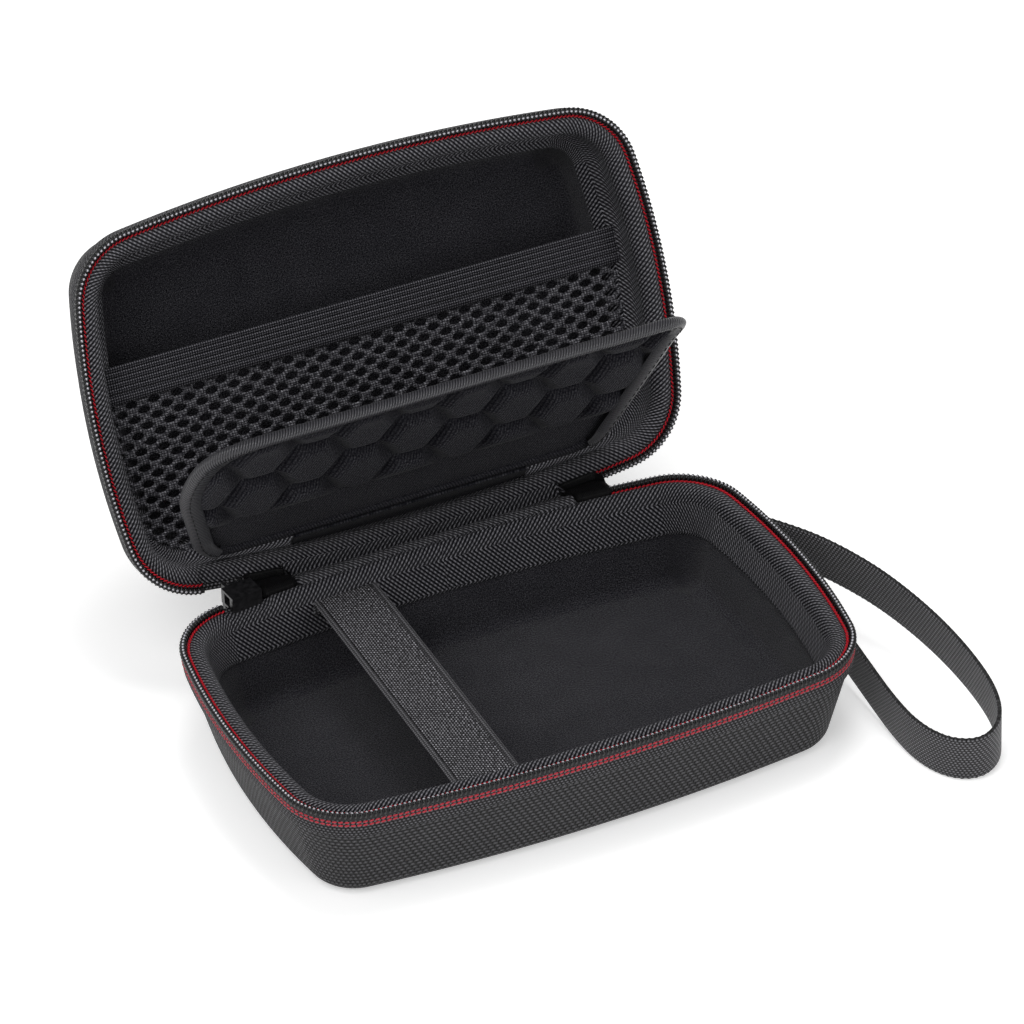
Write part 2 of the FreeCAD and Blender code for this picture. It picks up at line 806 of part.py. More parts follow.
def wrist_strap():
    path, radii = rounded_route([Vector(*point) for point in STRAP_ROUTE])
    first, second = (Vector(*point) for point in STRAP_ROUTE[:2])
    upright = Vector(0, 0, 1)
    aside = (second - first).cross(upright).normalize() * (S.strap_thickness.value / 2)
    rise = upright * (S.strap_width.value / 2)
    corners = [first + aside + rise, first - aside + rise, first - aside - rise, first + aside - rise]
    sweep = Part.BRepOffsetAPI.MakePipeShell(path)
    sweep.setBiNormalMode(upright)
    sweep.add(Part.makePolygon(corners + corners[:1]))
    sweep.build()
    sweep.makeSolid()
    node = doc.addObject("Part::Feature", "wrist_strap")
    node.Label = "wrist_strap"
    node.Shape = sweep.shape()
    NODES.append(node)
    print(f"strap length {path.Length:.1f}, volume {node.Shape.Volume:.1f}")
    print("strap radii", [round(radius, 1) for radius in radii])


def strap_tab():
    """The doubled end of the strap, sewn flat against the right wall under the zip tape."""
    body = new_body("strap_tab")
    sketch = sketch_on(body, "strap_tab_outline", "XY_Plane")
    inner = S.short_side_radius + S.tape_overhang + S.strap_tab_gap
    draw_profile(sketch, rectangle(inner, ZERO, inner + S.strap_thickness * 2, S.strap_tab_length))
    pad(body, sketch, S.strap_width, midplane=True)
    about = Vector(S.rim_length.value / 2 - S.short_side_radius.value, 0, STRAP_ROUTE[0][2])
    body.Placement = Placement(about, Rotation(Vector(0, 0, 1), S.strap_tab_angle.value))


wrist_strap()
strap_tab()
doc.recompute()

failed = [item.Name for item in doc.Objects if {"Invalid", "Error"} & set(item.State)]
bad = [node.Label for node in NODES if node.Shape.isNull() or not node.Shape.isValid()]
if failed or bad:
    raise RuntimeError(f"failed objects {failed}, bad shapes {bad}")

os.makedirs("parts", exist_ok=True)
for node in NODES:
    node.Shape.exportStep(f"parts/{node.Label}.step")
    print(f"{node.Label}: {len(node.Shape.Solids)} solid, {node.Shape.Volume:.1f} mm3")
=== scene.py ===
import json
import math

import bmesh
import bpy
import numpy as np
from mathutils import Matrix, Vector


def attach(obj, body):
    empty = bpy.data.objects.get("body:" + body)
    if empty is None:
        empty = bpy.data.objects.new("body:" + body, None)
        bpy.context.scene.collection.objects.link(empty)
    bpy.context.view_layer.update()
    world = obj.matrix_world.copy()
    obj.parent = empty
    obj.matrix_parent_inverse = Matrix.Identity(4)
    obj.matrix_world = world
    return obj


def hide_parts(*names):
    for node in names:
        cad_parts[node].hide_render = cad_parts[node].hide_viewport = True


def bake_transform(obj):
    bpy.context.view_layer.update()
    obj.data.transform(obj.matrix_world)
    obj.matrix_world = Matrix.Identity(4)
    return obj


# Looks of the zip storage case: cloth, zip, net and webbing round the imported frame, camera and light.
# Lengths are millimetres until a mesh is made. Each tray is drawn in its own frame, with its underside on
# z = 0 and its rim up; the lid's frame is then turned to where the lid stands open.

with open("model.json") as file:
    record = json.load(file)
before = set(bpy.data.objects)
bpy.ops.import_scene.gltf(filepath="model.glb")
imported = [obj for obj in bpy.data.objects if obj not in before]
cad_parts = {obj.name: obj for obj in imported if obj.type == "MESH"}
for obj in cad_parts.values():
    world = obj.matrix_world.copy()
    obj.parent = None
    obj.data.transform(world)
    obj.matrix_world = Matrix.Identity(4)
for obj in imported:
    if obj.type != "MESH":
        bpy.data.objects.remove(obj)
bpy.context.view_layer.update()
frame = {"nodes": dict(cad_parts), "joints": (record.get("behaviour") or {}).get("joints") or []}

MM = 0.001

# Driving sizes, as in the part's source
RIM_LENGTH = 169.6
RIM_WIDTH = 108.8
LONG_SIDE_RADIUS = 540.0
SHORT_SIDE_RADIUS = 217.0
CORNER_RADIUS = 20.0
BASE_DEPTH = 33.5
LID_DEPTH = 28.0
BASE_WALL = 5.0
LID_WALL = 2.0
DRAFT = math.radians(15)
BOTTOM_RADIUS = 6.0
COIL_HEIGHT = 2.4
PARTING_GAP = 0.2
TAPE_HEIGHT = 9.0
TAPE_OUTER = 0.3
WALL_OUTER = 1.1
BINDING_THICKNESS = 0.85
HINGE_HALF = 52.0
SLIDER_ROOM = 12.0
END_TAB_LENGTH = 10.4
LID_ANGLE = math.radians(113)
BAND_PLACE = -30.0
BAND_WIDTH = 19.0
BAND_DROP = 5.0
POCKET_DEPTH = 14.0
POCKET_HEIGHT = 68.0
DIVIDER_LEAN = math.radians(44)
DIVIDER_TAPER = math.radians(20)
DIVIDER_HALF = 78.0
DIVIDER_HEIGHT = 58.0
DIVIDER_THICKNESS = 3.8
FOLD_REACH = 6.0
STRAP_WIDTH = 13.0
STRAP_THICKNESS = 1.2

# Added to pattern coordinates, so that none is negative
UV_SHIFT = RIM_LENGTH

# The strap's route along its middle, as in the part's source
STRAP_ROUTE = [
    (84.1, 27.0, 21.5), (86.3, 10.0, 18.2), (88.0, -9.0, 14.0), (88.8, -29.0, 9.6), (88.9, -47.0, 7.0),
    (90.0, -60.0, 6.6), (94.6, -69.6, 6.6), (102.2, -73.2, 7.0), (109.4, -69.0, 8.2), (113.4, -58.5, 9.8),
    (113.8, -43.0, 12.0), (111.6, -25.0, 14.5), (106.6, -6.0, 17.0), (99.6, 9.0, 19.0), (92.6, 19.0, 20.5),
    (85.3, 27.0, 21.5),
]


# Places of the lid and the divider

def turn_about_x(angle, y, z):
    """A turn about the line through (y, z) along X, as a 4x4 array."""
    c, s = math.cos(angle), math.sin(angle)
    turn = np.array([[1, 0, 0, 0], [0, c, -s, 0], [0, s, c, 0], [0, 0, 0, 1.0]])
    move = np.eye(4)
    move[1:3, 3] = y, z
    return move @ turn @ np.linalg.inv(move)


def joint_place(name):
    joint = next(joint for joint in frame["joints"] if joint["name"] == name)
    return np.array(joint["pos_m"]) / MM


def placed(points, place):
    return points @ place[:3, :3].T + place[:3, 3]


HINGE = joint_place("lid_hinge")
CLOSED = np.diag([1.0, -1.0, -1.0, 1.0])
CLOSED[2, 3] = BASE_DEPTH + LID_DEPTH
BASE_PLACE = np.eye(4)
LID_PLACE = turn_about_x(-LID_ANGLE, HINGE[1], HINGE[2]) @ CLOSED
FOLD = placed(joint_place("divider_hinge"), np.linalg.inv(LID_PLACE))
DIVIDER_PLACE = LID_PLACE @ turn_about_x(DIVIDER_LEAN, FOLD[1], FOLD[2])


# The rim's outline: s runs along it from the middle of the hinge side towards +X

SIDE_CENTRE = np.array([0, RIM_WIDTH / 2 - LONG_SIDE_RADIUS])
END_CENTRE = np.array([RIM_LENGTH / 2 - SHORT_SIDE_RADIUS, 0])


def corner_centre():
    """The middle of the corner's arc, which touches the long side's arc and the short side's."""
    side_reach = LONG_SIDE_RADIUS - CORNER_RADIUS
    end_reach = SHORT_SIDE_RADIUS - CORNER_RADIUS
    span = END_CENTRE - SIDE_CENTRE
    length = np.linalg.norm(span)
    along = (side_reach ** 2 - end_reach ** 2 + length ** 2) / (2 * length)
    across = math.sqrt(side_reach ** 2 - along ** 2)
    unit = span / length
    return SIDE_CENTRE + unit * along + np.array([unit[1], -unit[0]]) * across


CORNER = corner_centre()
HIGH = math.atan2(CORNER[1] - SIDE_CENTRE[1], CORNER[0])
LOW = math.atan2(CORNER[1], CORNER[0] - END_CENTRE[0])
SIDE_RUN = LONG_SIDE_RADIUS * (math.pi / 2 - HIGH)
CORNER_RUN = CORNER_RADIUS * (HIGH - LOW)
QUARTER = SIDE_RUN + CORNER_RUN + SHORT_SIDE_RADIUS * LOW
RIM_RUN = 4 * QUARTER


def rim(s):
    """Points on the outline and the directions out of it, for distances along it."""
    s = np.mod(np.asarray(s, float), RIM_RUN)
    left = np.where(s > 2 * QUARTER, -1.0, 1.0)
    t = np.where(s > 2 * QUARTER, RIM_RUN - s, s)
    front = np.where(t > QUARTER, -1.0, 1.0)
    t = np.where(t > QUARTER, 2 * QUARTER - t, t)
    side = t < SIDE_RUN
    corner = ~side & (t < SIDE_RUN + CORNER_RUN)
    turn = np.where(side, math.pi / 2 - t / LONG_SIDE_RADIUS,
                    np.where(corner, HIGH - (t - SIDE_RUN) / CORNER_RADIUS,
                             LOW - (t - SIDE_RUN - CORNER_RUN) / SHORT_SIDE_RADIUS))
    out = joined(np.cos(turn), np.sin(turn))
    centre = np.where(side[:, None], SIDE_CENTRE, np.where(corner[:, None], CORNER, END_CENTRE))
    radius = np.where(side, LONG_SIDE_RADIUS, np.where(corner, CORNER_RADIUS, SHORT_SIDE_RADIUS))
    flip = joined(left, front)
    return (centre + out * radius[:, None]) * flip, out * flip


def run_at_x(x):
    """Distance along the outline of the place on the hinge side at x."""
    return LONG_SIDE_RADIUS * math.asin(x / LONG_SIDE_RADIUS)


ZIP_START = run_at_x(HINGE_HALF)
ZIP_END = RIM_RUN - run_at_x(HINGE_HALF + SLIDER_ROOM)
SLIDER_PLACE = ZIP_END + SLIDER_ROOM / 2


# Mesh making

def add_piece(name, shape, material, body, place=BASE_PLACE, stands_for=()):
    """A mesh from (points, faces, coordinates), all in millimetres, riding on a body."""
    points, faces, uv = shape
    mesh = bpy.data.meshes.new(name)
    mesh.from_pydata((placed(points, place) * MM).tolist(), [], faces.tolist())
    mesh.materials.append(material)
    corners = np.empty(len(mesh.loops), np.int32)
    mesh.loops.foreach_get("vertex_index", corners)
    mesh.uv_layers.new(name="UVMap").data.foreach_set("uv", uv.astype(np.float32)[corners].ravel())
    work = bmesh.new()
    work.from_mesh(mesh)
    bmesh.ops.recalc_face_normals(work, faces=work.faces)
    work.to_mesh(mesh)
    work.free()
    mesh.shade_smooth()
    piece = bpy.data.objects.new(name, mesh)
    bpy.context.scene.collection.objects.link(piece)
    if body:
        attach(piece, body)
    if stands_for:
        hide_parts(*stands_for)
    return piece


def thicken(piece, thickness, offset):
    cloth = piece.modifiers.new("thickness", "SOLIDIFY")
    cloth.thickness = thickness * MM
    cloth.offset = offset


def joined(*parts):
    """Coordinates spread to one grid and set side by side."""
    return np.stack(np.broadcast_arrays(*parts), -1)


def unit_vectors(vectors):
    return vectors / np.linalg.norm(vectors, axis=1)[:, None]


def nearest_on(edge, flat, block=4000):
    """Which point of the edge is nearest to each flat point, worked out block by block."""
    blocks = np.split(flat, range(block, len(flat), block))
    return np.concatenate([((some[:, None] - edge[None]) ** 2).sum(-1).argmin(1) for some in blocks])


def grid_faces(rows, columns, closed=False):
    """Quads of a grid of points stored row by row; closed joins the last column to the first."""
    i, j = np.meshgrid(np.arange(rows - 1), np.arange(columns if closed else columns - 1), indexing="ij")
    k = (j + 1) % columns
    quads = [i * columns + j, i * columns + k, (i + 1) * columns + k, (i + 1) * columns + j]
    return joined(*quads).reshape(-1, 4)


def grid_shape(points, uv_rows, uv_columns, closed=False):
    """A grid of points (rows, columns, 3) with coordinates down its rows and along its columns."""
    uv = joined(uv_rows[:, None], uv_columns[None]).reshape(-1, 2)
    return points.reshape(-1, 3), grid_faces(*points.shape[:2], closed), uv


def lengths_along(points):
    steps = np.linalg.norm(np.diff(points, axis=0), axis=1)
    return np.concatenate([[0], np.cumsum(steps)])


def soft_line(corners, step):
    """A smooth curve through the corners."""
    c = np.asarray(corners, float)
    c = np.vstack([2 * c[0] - c[1], c, 2 * c[-1] - c[-2]])
    found = [c[1:2]]
    for before, start, stop, after in zip(c, c[1:], c[2:], c[3:]):
        t = np.linspace(0, 1, int(np.linalg.norm(stop - start) / step) + 3)[1:, None]
        bend = 2 * before - 5 * start + 4 * stop - after
        swing = 3 * start - before - 3 * stop + after
        found.append(0.5 * (2 * start + (stop - before) * t + bend * t ** 2 + swing * t ** 3))
    return np.concatenate(found)


def sweep_rim(section, start, stop, step, side):
    """A section (inset, height) carried along the rim."""
    section = np.asarray(section, float)
    s = np.linspace(start, stop, int((stop - start) / step) + 1)
    on, out = rim(s)
    points = np.empty((len(s), len(section), 3))
    points[..., :2] = on[:, None] - out[:, None] * section[None, :, 0, None]
    points[..., 1] *= side
    points[..., 2] = section[None, :, 1]
    return grid_shape(points, s, lengths_along(section))


def wire_along(line, radius, sides):
    """A round wire along a line that turns freely in space."""
    ahead = unit_vectors(np.gradient(line, axis=0))
    bend = np.gradient(ahead, axis=0)
    aside = bend - ahead * (bend * ahead).sum(1)[:, None]
    aside /= np.linalg.norm(aside, axis=1)[:, None] + 1e-12
    other = np.cross(ahead, aside)
    turn = np.linspace(0, 2 * math.pi, sides, endpoint=False)
    ring = aside[:, None] * np.cos(turn)[None, :, None] + other[:, None] * np.sin(turn)[None, :, None]
    return grid_shape(line[:, None] + ring * radius, lengths_along(line), turn * radius, closed=True)


def stitch_shape(middles, along, up, size):
    """Many stretched balls of thread: size is half of each along, aside and up."""
    tilt = np.linspace(0, math.pi, 6)
    turn = np.linspace(0, 2 * math.pi, 8, endpoint=False)
    girth = np.sin(tilt)[:, None]
    ball = joined(np.cos(tilt)[:, None], girth * np.cos(turn), girth * np.sin(turn)).reshape(-1, 3)
    aside = np.cross(up, along)
    points = middles[:, None]
    for axis, direction in enumerate((along, aside, up)):
        points = points + ball[None, :, axis, None] * direction[:, None] * size[axis]
    first = (np.arange(len(middles)) * len(ball))[:, None, None]
    uv = np.stack([ball[:, 0] * size[0], np.tile(turn * size[1], len(tilt))], -1)
    faces = grid_faces(len(tilt), len(turn), True)[None] + first
    return points.reshape(-1, 3), faces.reshape(-1, 4), np.tile(uv, (len(middles), 1))


def repeated(direction, count):
    return np.tile(np.array(direction, float), (count, 1))


UPWARDS = (0, 0, 1)
ROW_STITCH = (0.7, 0.36, 0.16)
HEM_STITCH = (0.8, 0.3, 0.3)
FLAP_STITCH = (0.85, 0.22, 0.16)
TAB_STITCH = (0.75, 0.22, 0.14)


# Materials

class Cloth:
    """A material patterned by the mesh's own millimetre coordinates, or by its place if solid."""

    def __init__(self, name, roughness, shine, sheen=0.0, solid=False):
        self.material = bpy.data.materials.new(name)
        self.material.use_nodes = True
        self.tree = self.material.node_tree
        self.surface = self.tree.nodes["Principled BSDF"]
        self.surface.inputs["Roughness"].default_value = roughness
        self.surface.inputs["Specular IOR Level"].default_value = shine
        self.surface.inputs["Sheen Weight"].default_value = sheen
        self.surface.inputs["Sheen Roughness"].default_value = 0.4
        if solid:
            scale = self.tree.nodes.new("ShaderNodeVectorMath")
            scale.operation = "SCALE"
            scale.inputs["Scale"].default_value = 1 / MM
            self.tree.links.new(self.tree.nodes.new("ShaderNodeTexCoord").outputs["Object"], scale.inputs[0])
            self.place = scale.outputs[0]
        else:
            self.place = self.tree.nodes.new("ShaderNodeUVMap").outputs["UV"]
        parts = self.tree.nodes.new("ShaderNodeSeparateXYZ")
        self.tree.links.new(self.place, parts.inputs[0])
        self.u, self.v = parts.outputs[0], parts.outputs[1]

    def math(self, operation, *values):
        node = self.tree.nodes.new("ShaderNodeMath")
        node.operation = operation
        for socket, value in zip(node.inputs, values):
            if isinstance(value, (int, float)):
                socket.default_value = value
            else:
                self.tree.links.new(value, socket)
        return node.outputs[0]

    def partly(self, value, share):
        """A value from 0 to 1, of which only a share still varies, below 1."""
        return self.math("MULTIPLY_ADD", value, share, 1 - share)

    def ridge(self, value):
        """A row of rounded ridges, one for each whole step of the value."""
        return self.math("SINE", self.math("MULTIPLY", self.math("FRACT", value), math.pi))

    def slanted(self, slope, pitch, across=None):
        """Ridges that run aslant of the length."""
        across = self.v if across is None else across
        return self.ridge(self.math("DIVIDE", self.math("MULTIPLY_ADD", across, slope, self.u), pitch))

    def basket(self, pitch_u, pitch_v):
        """Threads that pass over and under each other in turn."""
        a = self.math("DIVIDE", self.u, pitch_u)
        b = self.math("DIVIDE", self.v, pitch_v)
        ridge_a, ridge_b = self.ridge(a), self.ridge(b)
        over = self.math("MODULO", self.math("ADD", self.math("FLOOR", a), self.math("FLOOR", b)), 2.0)
        along = self.math("MULTIPLY", ridge_b, self.partly(ridge_a, 0.5))
        across = self.math("MULTIPLY", ridge_a, self.partly(ridge_b, 0.5))
        return self.math("MULTIPLY_ADD", self.math("SUBTRACT", along, across), over, across)

    def grains(self, pitch_u, pitch_v):
        """Rounded grains in rows, each row part of a grain further on."""
        row = self.math("DIVIDE", self.v, pitch_v)
        along = self.math("MULTIPLY_ADD", self.math("FLOOR", row), 0.4, self.math("DIVIDE", self.u, pitch_u))
        return self.math("MULTIPLY", self.ridge(along), self.ridge(row))

    def herringbone(self, pitch, lane, fine, slope):
        """Slanted ribs that turn back in each lane, cut into short threads."""
        back = self.math("PINGPONG", self.v, lane)
        threads = self.slanted(-slope * 0.6, fine, back)
        return self.math("MULTIPLY", self.slanted(slope, pitch, back), self.partly(threads, 0.35))

    def noise(self, scale, detail=2.0):
        node = self.tree.nodes.new("ShaderNodeTexNoise")
        node.inputs["Scale"].default_value = scale
        node.inputs["Detail"].default_value = detail
        self.tree.links.new(self.place, node.inputs["Vector"])
        return node.outputs["Fac"]

    def speckle(self, scale):
        """Noise drawn out to the full range from 0 to 1."""
        wide = self.math("MULTIPLY_ADD", self.noise(scale, 4.0), 2.6, -0.8)
        return self.math("MINIMUM", self.math("MAXIMUM", wide, 0.0), 1.0)

    def paint(self, height, low, high, depth, uneven=0.2, sharp=2.0, painted_shade_reach=0.0):
        """Colours from low to high by the height, keener where sharp, cloudy by the uneven share, and relief.

        Painted shade: hollows as wide as the length given are darkened by ambient occlusion.
        """
        cloud_and_painted_shade = self.math("MULTIPLY_ADD", self.noise(0.09, 3.0), 2 * uneven, 1 - uneven)
        # Painted shade: ambient occlusion darkens the colour in hollows
        if painted_shade_reach:
            painted_shade_occlusion = self.tree.nodes.new("ShaderNodeAmbientOcclusion")
            painted_shade_occlusion.inputs["Distance"].default_value = painted_shade_reach * MM
            cloud_and_painted_shade = self.math("MULTIPLY", cloud_and_painted_shade, self.math("POWER", painted_shade_occlusion.outputs["AO"], 1.8))
        ramp = self.tree.nodes.new("ShaderNodeValToRGB")
        for stop, colour in zip(ramp.color_ramp.elements, (low, high)):
            stop.color = (*colour, 1)
        self.tree.links.new(self.math("MULTIPLY", self.math("POWER", height, sharp), cloud_and_painted_shade), ramp.inputs[0])
        self.tree.links.new(ramp.outputs[0], self.surface.inputs["Base Color"])
        relief = self.tree.nodes.new("ShaderNodeBump")
        relief.inputs["Strength"].default_value = 1.0
        relief.inputs["Distance"].default_value = depth * MM
        self.tree.links.new(height, relief.inputs["Height"])
        self.tree.links.new(relief.outputs["Normal"], self.surface.inputs["Normal"])
        return self.material


def grey(value):
    """A slightly cool grey."""
    return value * 0.985, value * 0.97, value * 1.05


def ink(value):
    """The same grey with a little blue in its darks."""
    red, green, blue = grey(value)
    return red, green, blue + 0.0025


def yarn(name, low, high):
    thread = Cloth(name, 0.5, 0.2)
    return thread.paint(thread.slanted(0.8, 0.4), low, high, 0.05)


# Each cloth has a roughness, shine and sheen, then a weave, its dark and pale colours and its relief

cloth = Cloth("outer_nylon", 0.55, 0.2, 0.03)
NYLON = cloth.paint(cloth.grains(1.8, 1.35), grey(0.001), grey(0.125), 1.1, sharp=1.3)

cloth = Cloth("zip_tape", 0.6, 0.15, 0.03)
TAPE = cloth.paint(cloth.grains(1.15, 0.95), grey(0.001), grey(0.18), 0.6, sharp=1.6)

cloth = Cloth("binding_twill", 0.55, 0.2, 0.03)
TWILL = cloth.paint(cloth.herringbone(1.3, 8.6, 1.5, 0.9), ink(0.001), ink(0.24), 0.6, sharp=3.6)

cloth = Cloth("lining_velvet", 0.95, 0.04, 0.1)
VELVET = cloth.paint(cloth.speckle(2.6), ink(0.003), ink(0.07), 0.25, 0.35, sharp=1.5)

cloth = Cloth("pad_cloth", 0.9, 0.05, 0.08)
weave = cloth.math("MULTIPLY", cloth.partly(cloth.slanted(-0.5, 0.9), 0.7), cloth.speckle(2.4))
# The pad's grooves between its pillows get painted shade
PAD = cloth.paint(weave, ink(0.002), ink(0.1), 0.16, 0.3, sharp=1.3, painted_shade_reach=6.0)

cloth = Cloth("ribbed_elastic", 0.65, 0.1, 0.03)
ELASTIC = cloth.paint(cloth.basket(0.75, 0.7), ink(0.002), ink(0.15), 0.3, sharp=3.2)

cloth = Cloth("net_yarn", 0.6, 0.12, 0.03)
weave = cloth.math("MULTIPLY", cloth.basket(0.8, 0.6), cloth.speckle(1.2))
NET = cloth.paint(weave, ink(0.006), ink(0.34), 0.35, sharp=1.4)

cloth = Cloth("grey_ribbon", 0.36, 0.5, 0.05)
RIBBON = cloth.paint(cloth.slanted(0.5, 0.8), ink(0.004), ink(0.052), 0.18)

cloth = Cloth("band_elastic", 0.7, 0.1, 0.03)
weave = cloth.math("MULTIPLY", cloth.grains(0.95, 0.75), cloth.partly(cloth.speckle(1.3), 0.8))
BAND = cloth.paint(weave, grey(0.006), grey(0.72), 0.35, sharp=2.0)

cloth = Cloth("band_edge", 0.55, 0.2, 0.03)
BAND_EDGE = cloth.paint(cloth.basket(0.8, 0.85), grey(0.01), grey(0.17), 0.25)

cloth = Cloth("strap_webbing", 0.45, 0.3, 0.03)
WEBBING = cloth.paint(cloth.grains(1.1, 0.75), grey(0.002), grey(0.25), 0.35, sharp=2.1)

RED = yarn("red_thread", (0.2, 0.002, 0.006), (0.66, 0.014, 0.03))
FADED_RED = yarn("faded_red_thread", (0.22, 0.01, 0.018), (0.72, 0.07, 0.1))
DARK_THREAD = yarn("dark_thread", grey(0.004), grey(0.03))

cloth = Cloth("tab_satin", 0.45, 0.15)
SATIN = cloth.paint(cloth.basket(0.5, 0.4), grey(0.002), grey(0.009), 0.08)

# Black plastic with painted highlights: a pale glint painted at each turn's crown; its first coordinate
# counts the turns
plastic = Cloth("coil_nylon", 0.2, 0.5)
painted_glint = plastic.ridge(plastic.math("ADD", plastic.u, 0.25))
COIL = plastic.paint(painted_glint, grey(0.002), grey(0.6), 0.02, sharp=220.0)

paint = Cloth("black_enamel", 0.28, 0.5, solid=True)
ENAMEL = paint.paint(paint.speckle(0.8), grey(0.004), grey(0.02), 0.04, sharp=1.0)


# Trays

class Tray:
    """The heights and insets of one half, in its own frame."""

    def __init__(self, prefix, depth, wall, floor_inset, roll, thread, place, side):
        self.prefix, self.wall, self.floor_inset = prefix, wall, floor_inset
        self.roll, self.thread = roll, thread
        self.place, self.side = place, side
        self.flip = np.array([1.0, side])
        self.cloth_top = depth - PARTING_GAP - COIL_HEIGHT
        self.tape_foot = depth - TAPE_HEIGHT

    def wall_inset(self, height):
        return WALL_OUTER + (self.tape_foot - height) * math.tan(DRAFT)

    def lining_inset(self, height):
        return self.wall_inset(height) + self.wall / math.cos(DRAFT) + BINDING_THICKNESS

    def add(self, name, shape, material, node=None, slot=None):
        stands_for = [f"{self.prefix}_{node}"] if node else []
        return add_piece(f"{self.prefix}_{name}", shape, material, self.prefix, self.place, stands_for)

    def ring(self, section, step=1.0):
        return sweep_rim(section, 0, RIM_RUN, step, self.side)


# Padded binding, as insets and drops below the cloth's top: a roll beside the coil, then down the wall
BASE_ROLL = [(1.6, 0.5), (1.85, -0.2), (2.7, -1.0), (4.0, -1.2), (5.3, -0.75), (6.3, 0.5), (6.9, 2.5),
             (8.0, 6.0), (8.9, 9.5), (9.2, 11.3), (8.8, 12.2), (8.2, 12.4)]
LID_ROLL = [(1.6, 0.5), (1.85, -0.2), (2.8, -0.9), (4.4, -0.85), (6.0, 0.3), (6.8, 2.2), (6.7, 4.5),
            (6.9, 7.5), (7.6, 9.2), (9.6, 11.0), (11.4, 12.6), (12.0, 13.8), (11.6, 14.6), (11.0, 14.8)]
BASE = Tray("base", BASE_DEPTH, BASE_WALL, floor_inset=11.5, roll=BASE_ROLL, thread=0.33,
            place=BASE_PLACE, side=1)
LID = Tray("lid", LID_DEPTH, LID_WALL, floor_inset=13.0, roll=LID_ROLL, thread=0.23,
           place=LID_PLACE, side=-1)

FLOOR_BEND = 4.0
FLAT_MARGIN = 1.5
COIL_PITCH = 1.3
COIL_WIRE = 0.36
COIL_INSET = 0.15
TURN_HALF_WIDTH = 1.05
TURN_HALF_HEIGHT = 1.0
DENT_SLOPE = 0.6
DENT_DEPTH = 0.1
ROLL_RISE = 1.5
RED_ROW_DROPS = (0.9, 1.95)


def section_arc(inset, height, radius, first, last):
    """Points of a round corner in a section; angles from the inward direction, in degrees."""
    turn = np.radians(np.linspace(first, last, 12))
    return joined(inset + radius * np.cos(turn), height + radius * np.sin(turn))


def shell_section(tray):
    """Outer face of the moulded wall from under the tape round to the underside."""
    start = BOTTOM_RADIUS * (1 - math.sin(DRAFT))
    middle = tray.wall_inset(start) + BOTTOM_RADIUS * math.cos(DRAFT)
    bend = section_arc(middle, BOTTOM_RADIUS, BOTTOM_RADIUS, 180 + math.degrees(DRAFT), 270)
    top = tray.tape_foot + 1
    wall = np.linspace([tray.wall_inset(top), top], bend[0], 16)
    return np.vstack([wall[:-1], bend, [[middle + FLAT_MARGIN, 0]]])


def tape_section(tray):
    """Outer tape from beside the coil down to its folded foot."""
    top, foot = tray.cloth_top, tray.tape_foot
    return soft_line([
        (1.6, top - 0.2), (0.6, top + 0.25), (-0.1, top + 0.1), (-0.35, top - 0.7), (-0.3, top - 2.5),
        (TAPE_OUTER - 0.4, foot + 2.0), (TAPE_OUTER - 0.1, foot + 0.6), (TAPE_OUTER + 0.3, foot + 0.05),
        (WALL_OUTER + 0.3, foot + 0.2),
    ], 0.8)


def lining_section(tray):
    """Inner face from the floor up behind the binding's foot."""
    bend = section_arc(tray.floor_inset + FLOOR_BEND, tray.wall + FLOOR_BEND, FLOOR_BEND, 270, 190)
    inset, drop = tray.roll[-1]
    start = [tray.floor_inset + FLOOR_BEND + FLAT_MARGIN, tray.wall]
    return np.vstack([[start], bend, [[inset + 0.4, tray.cloth_top - drop + 1.0]]])


def flat_patch(tray, inset, height):
    """A flat sheet inside the rim's outline, drawn in by the inset."""
    s = np.linspace(0, RIM_RUN, 400)
    on, out = rim(s)
    shares = np.linspace(1.0, 0.0005, 8)
    points = np.empty((len(shares), len(s), 3))
    points[..., :2] = (on - out * inset)[None] * shares[:, None, None]
    points[..., 1] *= tray.side
    points[..., 2] = height
    flat = points.reshape(-1, 3)
    return flat, grid_faces(len(shares), len(s)), flat[:, :2] + UV_SHIFT


def tray_pieces(tray):
    """Shell, lining, tape, binding, coil and threads of one half."""
    outside, inside = shell_section(tray), lining_section(tray)
    tray.add("shell_cloth", tray.ring(outside), NYLON, "shell", "outer_cloth")
    tray.add("underside", flat_patch(tray, outside[-1][0], 0.0), NYLON, slot="outer_cloth")
    tray.add("floor_lining", flat_patch(tray, inside[0][0], tray.wall), VELVET, slot="lining_cloth")
    tray.add("wall_lining", tray.ring(inside), VELVET, slot="lining_cloth")
    tray.add("tape_band", tray.ring(tape_section(tray), 0.8), TAPE, slot="outer_cloth")
    roll = soft_line([(inset, tray.cloth_top - drop) for inset, drop in tray.roll], 0.5)
    points, faces, uv = tray.ring(roll, 0.8)
    # The roll is pressed down beside the slider
    from_slider = np.abs(uv[:, 0] - SLIDER_PLACE) - SLIDER_ROOM / 2
    pressed = tray.cloth_top + np.clip(from_slider * DENT_SLOPE, -DENT_DEPTH, ROLL_RISE)
    points[:, 2] = np.minimum(points[:, 2], pressed)
    binding = tray.add("twill_roll", (points, faces, uv), TWILL, "binding", "twill_binding")
    zip_coil(tray)
    red_threads(tray)


